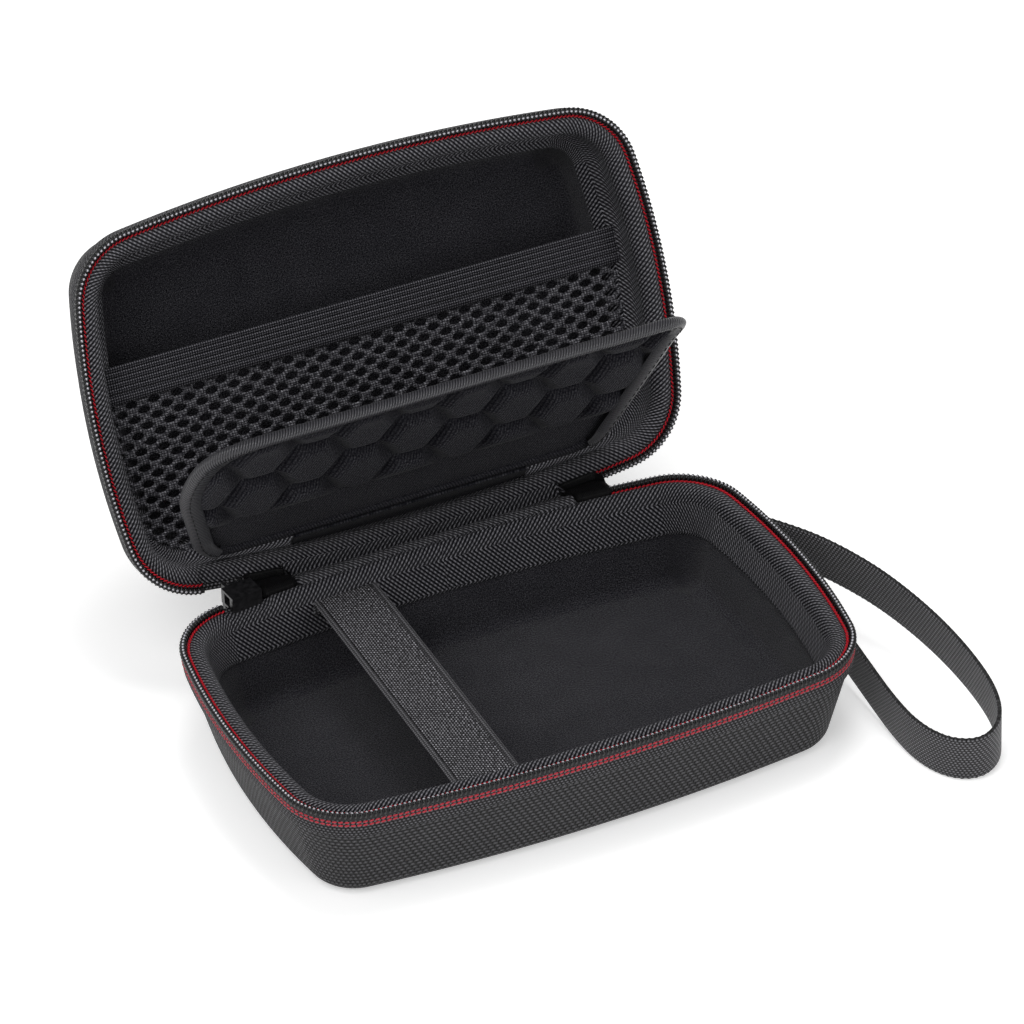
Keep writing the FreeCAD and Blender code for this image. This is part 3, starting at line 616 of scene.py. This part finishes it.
def zip_coil(tray):
    """The zip's coil: one long helix along the rim, sewn round a cord."""
    turns = int((ZIP_END - ZIP_START) / COIL_PITCH)
    phase = np.linspace(0, turns * 2 * math.pi, turns * 16 + 1)
    s = ZIP_START + phase / (2 * math.pi) * COIL_PITCH
    on, out = rim(s)
    middle = tray.cloth_top + TURN_HALF_HEIGHT
    across = np.sign(np.cos(phase)) * np.abs(np.cos(phase)) ** 0.75 * (TURN_HALF_WIDTH - COIL_WIRE)
    rise = np.sign(np.sin(phase)) * np.abs(np.sin(phase)) ** 0.75 * (TURN_HALF_HEIGHT - COIL_WIRE)
    helix = np.column_stack([(on - out * (COIL_INSET + across)[:, None]) * tray.flip, middle + rise])
    points, faces, uv = wire_along(helix, COIL_WIRE, 6)
    # The first coordinate counts the turns, which places the coil's painted glints
    uv[:, 0] = np.repeat(phase / (2 * math.pi), 6)
    tray.add("coil_turns", (points, faces, uv), COIL, "zip_coil", "zip_coil")
    cord = [(0.7, -1.2), (0.75, 0), (0.45, 0.55), (-0.45, 0.55), (-0.75, 0), (-0.7, -1.2)]
    cord = [(COIL_INSET + inset, middle + lift) for inset, lift in cord]
    tray.add("coil_cord", sweep_rim(cord, ZIP_START, ZIP_END, 1.0, tray.side), DARK_THREAD, slot="zip_coil")


def stitch_row(tray, name, material, inset, height, pitch, size, slant, flat, start, stop):
    """A row of stitches along the rim, lying flat on it or else against the outer face."""
    s = np.arange(start, stop, pitch)
    on, out = rim(s)
    level = np.zeros((len(s), 1))
    middles = np.column_stack([(on - out * inset) * tray.flip, level + height])
    outwards = np.column_stack([out * tray.flip, level])
    upwards = repeated(UPWARDS, len(s))
    up, aside = (upwards, outwards) if flat else (outwards, upwards)
    along = np.cross(aside, up)
    along = along * math.cos(slant) + aside * math.sin(slant)
    tray.add(name, stitch_shape(middles, along, up, size), material)


def red_threads(tray):
    """Red chain stitch inside the coil, and on the base two dashed rows on the tape outside it."""
    stitch_row(tray, "red_chain", RED, inset=1.6, height=tray.cloth_top + 0.55, pitch=1.25,
               size=(0.74, tray.thread, 0.28), slant=0.5, flat=True, start=ZIP_START - 3, stop=ZIP_END)
    for row, drop in enumerate(RED_ROW_DROPS if tray is BASE else ()):
        stitch_row(tray, f"red_row_{row}", FADED_RED, inset=-0.36, height=tray.cloth_top - drop, pitch=1.6,
                   size=ROW_STITCH, slant=0.15, flat=False, start=0, stop=RIM_RUN)


tray_pieces(BASE)
tray_pieces(LID)


# Hinge cloth and the tabs over the zip's ends, shaped from the base's rim over to the open lid's

def bridge_line(base_lap, lid_lap, sag):
    """The line, as y and z, from the base's rim over to the lid's, at the hinge side's middle."""
    rise, edge_inset = 1.1, 0.4
    half = RIM_WIDTH / 2
    lid_ends = np.array([[0, lap - half, LID.cloth_top + rise] for lap in (edge_inset, lid_lap)])
    lid_edge, lid_end = placed(lid_ends, LID_PLACE)[:, 1:]
    start = np.array([half - base_lap, BASE.cloth_top + rise])
    edge = np.array([half - edge_inset, BASE.cloth_top + rise])
    middle = (edge + lid_edge) / 2 - np.array([0, sag])
    return soft_line([start, edge, middle, lid_edge, lid_end], 0.5)


def bridge(name, left, right, line, thickness, rounding, material, node):
    """A folded strip of cloth from base to lid between two places along the hinge, with rounded ends."""
    normal = unit_vectors(np.gradient(line, axis=0)[:, ::-1] * np.array([1, -1]))
    loop = np.vstack([line + normal * thickness / 2, line[::-1] - normal[::-1] * thickness / 2])
    on_base = np.linspace(1, 0, len(line))
    on_base = np.concatenate([on_base, on_base[::-1]])[None]
    x = np.linspace(left, right, int((right - left) * 2) + 1)
    bow = (x ** 2 / (2 * LONG_SIDE_RADIUS))[:, None]
    from_end = np.clip(np.minimum(x - left, right - x) / rounding, 0, 1)
    full = np.sqrt(1 - (1 - from_end) ** 2)[:, None]
    heart = loop.mean(0)
    lid_draw = LID_PLACE[1:3, 1]
    rounded = heart + (loop - heart)[None] * full[..., None]
    y = rounded[..., 0] + bow * ((1 - on_base) * lid_draw[0] - on_base)
    z = rounded[..., 1] + bow * (1 - on_base) * lid_draw[1]
    shape = grid_shape(joined(x[:, None], y, z), x + UV_SHIFT, lengths_along(loop), closed=True)
    piece = add_piece(name, shape, material, None, stands_for=[node])
    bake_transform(piece)


STRIP_HALF = HINGE_HALF - END_TAB_LENGTH
STRIP_LINE = bridge_line(base_lap=4.0, lid_lap=3.6, sag=0.8)
END_TAB_LINE = bridge_line(base_lap=2.6, lid_lap=2.6, sag=-0.3)
NEAR, FAR = STRIP_HALF - 1, HINGE_HALF + 1.5
bridge("hinge_cloth", -STRIP_HALF, STRIP_HALF, STRIP_LINE, thickness=0.8, rounding=0.3, material=TWILL,
       node="hinge_strip")
for end, left, right in (("left", -FAR, -NEAR), ("right", NEAR, FAR)):
    bridge(f"end_tab_cloth_{end}", left, right, END_TAB_LINE, thickness=1.8, rounding=3.0, material=SATIN,
           node=f"zip_end_tab_{end}")


# Elastic band across the base

def retaining_band():
    """A stretched band with woven edges, tucked behind the binding at both walls."""
    top = BASE_DEPTH - BAND_DROP
    bow = (abs(BAND_PLACE) + BAND_WIDTH / 2) ** 2 / (2 * LONG_SIDE_RADIUS)
    reach = RIM_WIDTH / 2 - bow - BASE.lining_inset(top)
    foot = RIM_WIDTH / 2 - bow - BASE.lining_inset(top - 4)
    half_line = [(0, top), (reach * 0.5, top), (reach - 2.5, top - 0.2), (reach - 0.5, top - 1.2),
                 (foot - 0.4, top - 4)]
    line = soft_line([(-y, z) for y, z in half_line[:0:-1]] + half_line, 0.6)
    along = lengths_along(line)
    from_end = np.minimum(along, along[-1] - along)
    gather_depth, gather_pitch = 0.14, 1.1
    gathers = gather_depth * np.sin(along / gather_pitch * 2 * math.pi) * np.clip(1.6 - from_end / 6, 0, 1)
    border = 1.7
    for name, left, right, material, lift in (
            ("band_middle", border - BAND_WIDTH / 2, BAND_WIDTH / 2 - border, BAND, 0.0),
            ("band_edge_left", -BAND_WIDTH / 2, border - BAND_WIDTH / 2, BAND_EDGE, 0.1),
            ("band_edge_right", BAND_WIDTH / 2 - border, BAND_WIDTH / 2, BAND_EDGE, 0.1)):
        x = np.linspace(left, right, int((right - left) * 6) + 2)
        from_seam = np.minimum(x - left, right - x)
        seam_dip = 0.35 * np.exp(-(from_seam / 0.25) ** 2)
        height = (line[:, 1] + gathers)[:, None] + lift - seam_dip[None]
        points = joined(BAND_PLACE + x[None], line[:, None, 0], height)
        shape = grid_shape(points, along, x + UV_SHIFT)
        piece = add_piece(name, shape, material, "base", stands_for=["retaining_band"])
        thicken(piece, 1.0, -1.0)


retaining_band()


# Pocket net and its elastic, in the lid's frame

POCKET_LEVEL = LID_DEPTH - POCKET_DEPTH + 0.6
MOUTH = POCKET_HEIGHT - RIM_WIDTH / 2
ELASTIC_HEIGHT = 7.6
ELASTIC_RIBS = 5
HEM_HEIGHT = 3.0
NET_STEP = (3.3, 2.25)
NET_HOLE = (1.75, 1.0)
NET_COLUMNS = 14


def keep_inside(points, inset):
    """Moves points beyond the lid's drawn-in outline back onto it, and says which they were."""
    on, out = rim(np.linspace(0, RIM_RUN, 1200, endpoint=False))
    edge = on - out * inset
    flat = points[:, :2] * LID.flip
    nearest = nearest_on(edge, flat)
    beyond = ((flat - edge[nearest]) * out[nearest]).sum(-1) > 0
    flat[beyond] = edge[nearest][beyond]
    points[:, :2] = flat * LID.flip
    return beyond


def net_cell():
    """A diamond of knitted yarn round an oval hole."""
    turn = np.linspace(0, 2 * math.pi, 16, endpoint=False)
    unit = joined(np.cos(turn), np.sin(turn))
    diamond = unit / (np.abs(unit) / np.array(NET_STEP)).sum(1)[:, None]
    hole = unit * np.array(NET_HOLE)
    rings = [np.column_stack([diamond + (hole - diamond) * share, np.full(len(turn), lift)])
             for share, lift in ((0.0, 0.25), (0.45, 0.2), (0.85, -0.05), (1.0, -0.5))]
    return np.concatenate(rings), grid_faces(len(rings), len(turn), True)


def pocket_net():
    inset = LID.lining_inset(POCKET_LEVEL) + 1.0
    top = MOUTH - ELASTIC_HEIGHT - HEM_HEIGHT + 1.0
    rows = np.arange(int((top + RIM_WIDTH / 2) / NET_STEP[1]))
    columns = np.arange(-NET_COLUMNS, NET_COLUMNS + 1)
    row, column = (part.ravel() for part in np.meshgrid(rows, columns))
    middles = joined((column * 2 + row % 2) * NET_STEP[0], top - row * NET_STEP[1], POCKET_LEVEL)
    middles = middles[~keep_inside(middles.copy(), inset)]
    cell, cell_faces = net_cell()
    points = (middles[:, None] + cell[None]).reshape(-1, 3)
    keep_inside(points, inset)
    faces = (cell_faces[None] + (np.arange(len(middles)) * len(cell))[:, None, None]).reshape(-1, 4)
    shape = points, faces, points[:, :2] + UV_SHIFT
    net = add_piece("pocket_net", shape, NET, "lid", LID_PLACE, ["mesh_pocket"])


def pocket_elastic():
    """Ribbed elastic along the mouth, with a stitched hem under it."""
    half = RIM_LENGTH / 2 - LID.lining_inset(POCKET_LEVEL) - MOUTH ** 2 / (2 * SHORT_SIDE_RADIUS) - 0.3
    x = np.linspace(-half, half, 80)
    down = np.linspace(0, ELASTIC_HEIGHT + HEM_HEIGHT, 110)
    ribs = 0.9 + 0.55 * np.abs(np.sin(down / ELASTIC_HEIGHT * ELASTIC_RIBS * math.pi)) ** 0.6
    hem = 0.6 + 0.8 * np.abs(np.sin((down - ELASTIC_HEIGHT) / HEM_HEIGHT * math.pi)) ** 0.7
    height = POCKET_LEVEL + np.where(down < ELASTIC_HEIGHT, ribs, hem)
    points = joined(x[None], MOUTH - down[:, None], height[:, None])
    shape = grid_shape(points, down + HEM_HEIGHT, x + UV_SHIFT)
    piece = add_piece("mouth_elastic", shape, ELASTIC, "lid", LID_PLACE, ["pocket_elastic"])
    thicken(piece, 0.6, -1.0)
    along_hem = np.arange(2 - half, half - 2, 2.4)
    middles = joined(along_hem, MOUTH - ELASTIC_HEIGHT, POCKET_LEVEL + 0.75)
    along, up = repeated((1, 0, 0), len(along_hem)), repeated(UPWARDS, len(along_hem))
    stitches = stitch_shape(middles, along, up, HEM_STITCH)
    add_piece("hem_stitches", stitches, DARK_THREAD, "lid", LID_PLACE)


pocket_net()
pocket_elastic()


# Divider flap, in the lid's frame before it leans out; its corners run round from the left foot

FLAP_FOOT = FOLD[1] + FOLD_REACH
FLAP_TOP = FLAP_FOOT + DIVIDER_HEIGHT
FLAP_FOOT_HALF = DIVIDER_HALF - DIVIDER_HEIGHT * math.tan(DIVIDER_TAPER)
RIBBON_WIDTH = 3.3
RIBBON_LAP = 1.5
RIBBON_HALF = 1.9
RIBBON_SIDE_SHARE = 0.75
FOOT_HALF = 1.0
FOOT_DROP = 0.6
TONGUE_HALF = 35.0
LEFT_FOOT_SPREAD = 6.0
TOP_SPREAD = 1.0
FLAP_RADII = (14, 12, 8, 24)
PAD_LEVEL = 1.6
BACK_LEVEL = 0.2
CURL_REACH = 14.0
CURL_RISE = 4.5
PILLOW_STEP = (15.2, 9.3)
PILLOW_MIDDLE = (-3.4, FLAP_TOP - 23.0)
PILLOW_FOOT = FLAP_TOP - 43.0
PILLOW_RISE = 2.8
PILLOW_SLOPE = 8.0
PILLOW_FADE = 5.0
PILLOW_COLUMNS = 6
PILLOW_ROWS = 4


def rounded_outline(corners, radii, step):
    """A closed outline with round corners: points, directions out of it and distances along it."""
    corners = np.asarray(corners, float)
    found = []
    for before, corner, after, radius in zip(np.roll(corners, 1, 0), corners, np.roll(corners, -1, 0), radii):
        back = (before - corner) / np.linalg.norm(before - corner)
        on = (after - corner) / np.linalg.norm(after - corner)
        half = math.acos(back @ on) / 2
        middle = corner + (back + on) / np.linalg.norm(back + on) * radius / math.sin(half)
        enter = corner + back * radius / math.tan(half) - middle
        turn = math.atan2(enter[1], enter[0]) + np.linspace(0, math.pi - 2 * half, 24)
        found.append(middle + radius * joined(np.cos(turn), np.sin(turn)))
    loop = np.concatenate(found + [found[0][:1]])
    along = lengths_along(loop)
    run = np.linspace(0, along[-1], int(along[-1] / step) + 1)
    points = np.stack([np.interp(run, along, loop[:, axis]) for axis in range(2)], -1)
    ahead = np.roll(points[:-1], -1, 0) - np.roll(points[:-1], 1, 0)
    ahead = unit_vectors(np.vstack([ahead, ahead[:1]]))
    return points, joined(ahead[:, 1], -ahead[:, 0]), run


FLAP_LINE, FLAP_OUT, FLAP_RUN = rounded_outline(
    [(-FLAP_FOOT_HALF - LEFT_FOOT_SPREAD, FLAP_FOOT), (FLAP_FOOT_HALF, FLAP_FOOT),
     (DIVIDER_HALF + TOP_SPREAD, FLAP_TOP), (-DIVIDER_HALF - TOP_SPREAD, FLAP_TOP)], FLAP_RADII, 0.8)
FLAP_ROWS = len(FLAP_LINE) - 1
FOOT_ROWS = np.flatnonzero(FLAP_LINE[:-1, 1] < FLAP_FOOT + 2)
RIBBON_ROWS = np.arange(FOOT_ROWS[-1], FOOT_ROWS[0] + FLAP_ROWS + 1) % FLAP_ROWS


def curled(points):
    """The flap's free edge curls forwards."""
    share = np.clip((points[:, 1] - FLAP_TOP + CURL_REACH) / CURL_REACH, 0, None)
    points[:, 2] += CURL_RISE * share ** 2
    return points


def pillows(x, y):
    """Height, from 0 to 1, of soft hexagonal pillows in staggered columns."""
    i = (x - PILLOW_MIDDLE[0]) / PILLOW_STEP[0]
    j = (y - PILLOW_MIDDLE[1]) / PILLOW_STEP[1]
    near = np.full(x.shape, np.inf)
    next_near = near.copy()
    for column in range(-PILLOW_COLUMNS, PILLOW_COLUMNS + 1):
        for row in range(column % 2 - PILLOW_ROWS, PILLOW_ROWS + 1, 2):
            away = np.hypot((i - column) * PILLOW_STEP[0], (j - row) * PILLOW_STEP[1])
            next_near = np.where(away < near, near, np.minimum(next_near, away))
            near = np.minimum(near, away)
    inside = np.clip((next_near - near) / PILLOW_SLOPE, 0, 1)
    return np.sin(inside * math.pi / 2) ** 1.3 * np.clip((y - PILLOW_FOOT) / PILLOW_FADE, 0, 1)


def flap_sheet(level, step):
    """A grid over the flap, drawn in to its outline, and how deep each point lies inside it."""
    x = np.arange(-DIVIDER_HALF - 2, DIVIDER_HALF + 2, step)
    y = np.arange(FLAP_FOOT, FLAP_TOP + step, step)
    points = joined(x[None], y[:, None], FOLD[2] + level).reshape(-1, 3)
    edge = FLAP_LINE[:-1] - FLAP_OUT[:-1] * (RIBBON_WIDTH - RIBBON_LAP)
    nearest = nearest_on(edge, points[:, :2])
    inwards = ((edge[nearest] - points[:, :2]) * FLAP_OUT[nearest]).sum(-1)
    points[inwards < 0, :2] = edge[nearest][inwards < 0]
    return points, grid_faces(len(y), len(x)), np.clip(inwards, 0, None)


def flap_pad():
    """The pad's front with its pillows, and its plain back."""
    front, faces, depth = flap_sheet(PAD_LEVEL, 0.5)
    front[:, 2] += PILLOW_RISE * pillows(front[:, 0], front[:, 1]) * np.clip(depth / PILLOW_FADE, 0, 1)
    uv = front[:, :2] + UV_SHIFT
    piece = add_piece("flap_pad", (curled(front), faces, uv), PAD, "divider", DIVIDER_PLACE, ["divider_pad"])
    back, faces, _ = flap_sheet(BACK_LEVEL, 1.5)
    uv = back[:, :2] + UV_SHIFT
    add_piece("flap_back", (curled(back), faces, uv), PAD, "divider", DIVIDER_PLACE)


def ribbon_shape(rows, middle, half):
    """Cloth folded round the flap's edge along some rows of its outline."""
    flat = [(RIBBON_WIDTH, half - 0.7), (RIBBON_WIDTH - 0.2, half - 0.1), (RIBBON_WIDTH - 1.6, half)]
    turn = np.radians(np.linspace(90, -90, 13))
    nose = np.stack([half * 0.8 * (1 - np.cos(turn)), half * np.sin(turn) * 1.03], -1)
    section = np.vstack([flat, nose, [(inset, -level) for inset, level in flat[::-1]]])
    points = np.empty((len(rows), len(section), 3))
    out = FLAP_OUT[rows]
    wider = (1 + RIBBON_SIDE_SHARE * np.abs(out[:, :1]))[..., None]
    points[..., :2] = FLAP_LINE[rows][:, None] - out[:, None] * section[None, :, 0, None] * wider
    points[..., 2] = middle + section[None, :, 1]
    points, faces, uv = grid_shape(points, np.arange(len(rows)) * FLAP_RUN[1], lengths_along(section))
    return curled(points), faces, uv


def flap_ribbon():
    """Ribbon round the flap's free edges, its plain foot and the lines of stitches."""
    middle = FOLD[2] + DIVIDER_THICKNESS / 2
    add_piece("flap_ribbon", ribbon_shape(RIBBON_ROWS, middle, RIBBON_HALF), RIBBON, "divider", DIVIDER_PLACE,
              ["divider_binding"])
    foot = ribbon_shape(FOOT_ROWS, middle - FOOT_DROP, FOOT_HALF)
    add_piece("flap_foot", foot, PAD, "divider", DIVIDER_PLACE)
    on, out = FLAP_LINE[RIBBON_ROWS[::3]], FLAP_OUT[RIBBON_ROWS[::3]]
    up = repeated(UPWARDS, len(on))
    along = joined(-out[:, 1], out[:, 0], 0.0)
    for name, level in (("front", middle + RIBBON_HALF + 0.05), ("back", middle - RIBBON_HALF - 0.05)):
        middles = np.column_stack([on - out * (RIBBON_WIDTH - 1.2), np.full(len(on), level)])
        stitches = stitch_shape(curled(middles), along, up, FLAP_STITCH)
        add_piece(f"flap_stitches_{name}", stitches, DARK_THREAD, "divider", DIVIDER_PLACE)


def flap_tongue():
    """Cloth tongue from the flap's foot to the binding it hangs on."""
    section = soft_line([(-1.3, -0.4), (-0.6, 0.9), (1.5, 1.5), (4.0, 1.7), (7.5, 2.6)], 0.4)
    x = np.linspace(-TONGUE_HALF, TONGUE_HALF, 90)
    y, z = (FOLD[1:] + section).T
    shape = grid_shape(joined(x[:, None], y[None], z[None]), x + UV_SHIFT, lengths_along(section))
    piece = add_piece("flap_tongue", shape, PAD, "divider", DIVIDER_PLACE, ["divider_fold"])
    thicken(piece, 0.8, -1.0)


flap_pad()
flap_ribbon()
flap_tongue()


# Wrist strap: flat webbing along a NURBS line through the route

def strap_line():
    """Points read from the route's spline, evenly spaced, and their distances along it."""
    curve = bpy.data.curves.new("strap_line", "CURVE")
    curve.dimensions = "3D"
    curve.resolution_u = 24
    spline = curve.splines.new("NURBS")
    spline.points.add(len(STRAP_ROUTE) - 1)
    for point, place in zip(spline.points, STRAP_ROUTE):
        point.co = (*(c * MM for c in place), 1)
    spline.order_u = 3
    spline.use_endpoint_u = True
    holder = bpy.data.objects.new("strap_line", curve)
    mesh = bpy.data.meshes.new_from_object(holder)
    line = np.array([vertex.co for vertex in mesh.vertices]) / MM
    bpy.data.objects.remove(holder)
    bpy.data.meshes.remove(mesh)
    along = lengths_along(line)
    even = np.linspace(0, along[-1], int(along[-1] / 0.4))
    return np.stack([np.interp(even, along, line[:, axis]) for axis in range(3)], -1), even


def wrist_strap():
    """Webbing on its edge, with the small scallops of its selvedges."""
    line, along = strap_line()
    ahead = unit_vectors(np.gradient(line[:, :2], axis=0))
    aside = joined(ahead[:, 1], -ahead[:, 0], 0.0)
    scallop_depth, scallop_pitch = 0.22, 1.9
    scallop = scallop_depth * np.sin(along / scallop_pitch * 2 * math.pi)
    half = STRAP_WIDTH / 2 - 0.25
    thick = STRAP_THICKNESS / 2
    levels = np.linspace(-half, half, 9)
    top = [(thick * 0.6, half + 0.2, 1), (-thick * 0.6, half + 0.2, 1)]
    section = [(thick, level, 0) for level in levels] + top
    section = np.array(section + [(-x, -level, -edge) for x, level, edge in section])
    points = line[:, None] + aside[:, None] * section[None, :, 0, None]
    points[..., 2] += section[None, :, 1] + scallop[:, None] * section[None, :, 2]
    shape = grid_shape(points, along, section[:, 1] + STRAP_WIDTH, closed=True)
    strap = add_piece("strap_webbing", shape, WEBBING, "base", stands_for=["wrist_strap"])


wrist_strap()


# Webbing tab that holds the strap's ends on the end wall

TAB_TURN = math.radians(7.2)
TAB_INNER_RADIUS = SHORT_SIDE_RADIUS + 0.38
TAB_LENGTH = 11.0
TAB_FOOT, TAB_HEAD = 15.0, 28.0


def on_end_wall(points):
    """From beside the short side's middle, measured from its arc's centre, to the tab's place."""
    c, s = math.cos(TAB_TURN), math.sin(TAB_TURN)
    turn = np.array([[c, -s, 0], [s, c, 0], [0, 0, 1]])
    return points @ turn.T + np.array([*END_CENTRE, 0])


def strap_tab():
    """Two layers of webbing, sewn down in two rows."""
    thick = 2 * STRAP_THICKNESS
    outer = TAB_INNER_RADIUS + thick
    loop, out, run = rounded_outline([(TAB_INNER_RADIUS, 0), (outer, 0), (outer, TAB_LENGTH),
                                      (TAB_INNER_RADIUS, TAB_LENGTH)], (1.1,) * 4, 0.3)
    rims = [(0, 1.1), (0, 0.45), (0.12, 0.15), (0.45, 0)]
    levels = [(TAB_FOOT + rise, inset) for rise, inset in rims]
    levels += [(TAB_HEAD - rise, inset) for rise, inset in rims[::-1]]
    points = np.empty((len(levels), len(loop), 3))
    for row, (level, inset) in enumerate(levels):
        points[row, :, :2] = loop - out * inset
        points[row, :, 2] = level
    points, faces, uv = grid_shape(points, np.array([level for level, inset in levels]), run + TAB_LENGTH)
    add_piece("strap_tab_cloth", (on_end_wall(points), faces, uv[:, ::-1]), WEBBING, "base",
              stands_for=["strap_tab"])
    height = np.arange(TAB_FOOT + 1.5, TAB_HEAD - 1, 1.9)
    upwards = repeated(UPWARDS, len(height))
    outwards = repeated((math.cos(TAB_TURN), math.sin(TAB_TURN), 0), len(height))
    for row, place in enumerate((1.9, TAB_LENGTH - 1.9)):
        middles = on_end_wall(joined(outer, place, height))
        stitches = stitch_shape(middles, upwards, outwards, TAB_STITCH)
        add_piece(f"tab_stitches_{row}", stitches, DARK_THREAD, "base")


strap_tab()


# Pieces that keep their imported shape

def dress(node, material, edge):
    piece = frame["nodes"][node]
    piece.data.materials.clear()
    piece.data.materials.append(material)
    soften = piece.modifiers.new("soft_edges", "BEVEL")
    soften.width = edge * MM
    soften.segments = 3
    soften.limit_method = "ANGLE"


dress("zip_slider", ENAMEL, 0.5)
dress("zip_pull", ENAMEL, 0.35)


# Camera, found from the photograph: places are measured in view units from the rim's middle

VIEW_UNIT = 172.0
VIEW_AZIMUTH = math.radians(-23.913)
VIEW_ELEVATION = math.radians(35.613)
VIEW_ROLL = math.radians(-2.029)
VIEW_DISTANCE = 12.136
VIEW_SHIFT = (-0.0085, 0.2000)
FOCAL_PIXELS = 7827.3
PHOTO_PIXELS = 1024
SENSOR = 36.0

WORLD_STRENGTH = 0.35
FLOOR_GREY = 0.95
FLOOR_GLOW = 0.4
FLOOR_DROP = 0.0002
LAMP_AIM = (0, 0.03, 0.05)


def add_camera():
    back = Vector((math.sin(VIEW_AZIMUTH) * math.cos(VIEW_ELEVATION),
                   -math.cos(VIEW_AZIMUTH) * math.cos(VIEW_ELEVATION), math.sin(VIEW_ELEVATION)))
    level = Vector((math.cos(VIEW_AZIMUTH), math.sin(VIEW_AZIMUTH), 0))
    steep = back.cross(level)
    right = level * math.cos(VIEW_ROLL) + steep * math.sin(VIEW_ROLL)
    up = steep * math.cos(VIEW_ROLL) - level * math.sin(VIEW_ROLL)
    middle = Vector((0, 0, BASE_DEPTH - PARTING_GAP - COIL_HEIGHT / 2))
    place = middle + (right * VIEW_SHIFT[0] + up * VIEW_SHIFT[1] + back * VIEW_DISTANCE) * VIEW_UNIT
    data = bpy.data.cameras.new("view")
    data.sensor_width = SENSOR
    data.lens = SENSOR * FOCAL_PIXELS / PHOTO_PIXELS
    data.clip_start, data.clip_end = 0.1, 20
    camera = bpy.data.objects.new("view", data)
    camera.matrix_world = Matrix.Translation(place * MM) @ Matrix((right, up, back)).transposed().to_4x4()
    bpy.context.scene.collection.objects.link(camera)
    bpy.context.scene.camera = camera


def area_light(name, place, size, power):
    """A soft lamp that looks at the middle of the case."""
    data = bpy.data.lights.new(name, "AREA")
    data.size = size
    data.energy = power
    light = bpy.data.objects.new(name, data)
    light.location = place
    light.rotation_euler = (Vector(LAMP_AIM) - Vector(place)).to_track_quat("-Z", "Y").to_euler()
    bpy.context.scene.collection.objects.link(light)


def add_world():
    """Even light all round."""
    world = bpy.data.worlds.new("studio")
    bpy.context.scene.world = world
    world.use_nodes = True
    light = world.node_tree.nodes["Background"]
    light.inputs["Color"].default_value = (1, 1, 1, 1)
    light.inputs["Strength"].default_value = WORLD_STRENGTH


def add_floor():
    """A pale floor, a little lighter to the eye and in reflections; it keeps the shadow."""
    mesh = bpy.data.meshes.new("floor")
    reach = 9
    mesh.from_pydata([(-reach, -reach, 0), (reach, -reach, 0), (reach, reach, 0), (-reach, reach, 0)], [],
                     [(0, 1, 2, 3)])
    look = bpy.data.materials.new("floor_white")
    look.use_nodes = True
    tree = look.node_tree
    surface = tree.nodes["Principled BSDF"]
    surface.inputs["Base Color"].default_value = (*[FLOOR_GREY] * 3, 1)
    surface.inputs["Roughness"].default_value = 0.9
    surface.inputs["Emission Color"].default_value = (1, 1, 1, 1)
    rays = tree.nodes.new("ShaderNodeLightPath")
    seen = rays.outputs["Is Camera Ray"]
    for kind in ("Is Glossy Ray", "Is Transmission Ray"):
        either = tree.nodes.new("ShaderNodeMath")
        either.operation = "MAXIMUM"
        tree.links.new(seen, either.inputs[0])
        tree.links.new(rays.outputs[kind], either.inputs[1])
        seen = either.outputs[0]
    lift = tree.nodes.new("ShaderNodeMath")
    lift.operation = "MULTIPLY"
    lift.inputs[1].default_value = FLOOR_GLOW
    tree.links.new(seen, lift.inputs[0])
    tree.links.new(lift.outputs[0], surface.inputs["Emission Strength"])
    mesh.materials.append(look)
    floor = bpy.data.objects.new("floor", mesh)
    floor.location.z = -FLOOR_DROP
    bpy.context.scene.collection.objects.link(floor)


add_camera()
add_world()
add_floor()
area_light("key", place=(-0.6, -0.4, 0.9), size=0.8, power=5.5)
area_light("top", place=(0.1, 0.1, 1.1), size=0.4, power=4.5)
area_light("fill", place=(0.5, -0.9, 0.35), size=0.6, power=2.2)
bpy.context.scene.view_settings.view_transform = "Standard"
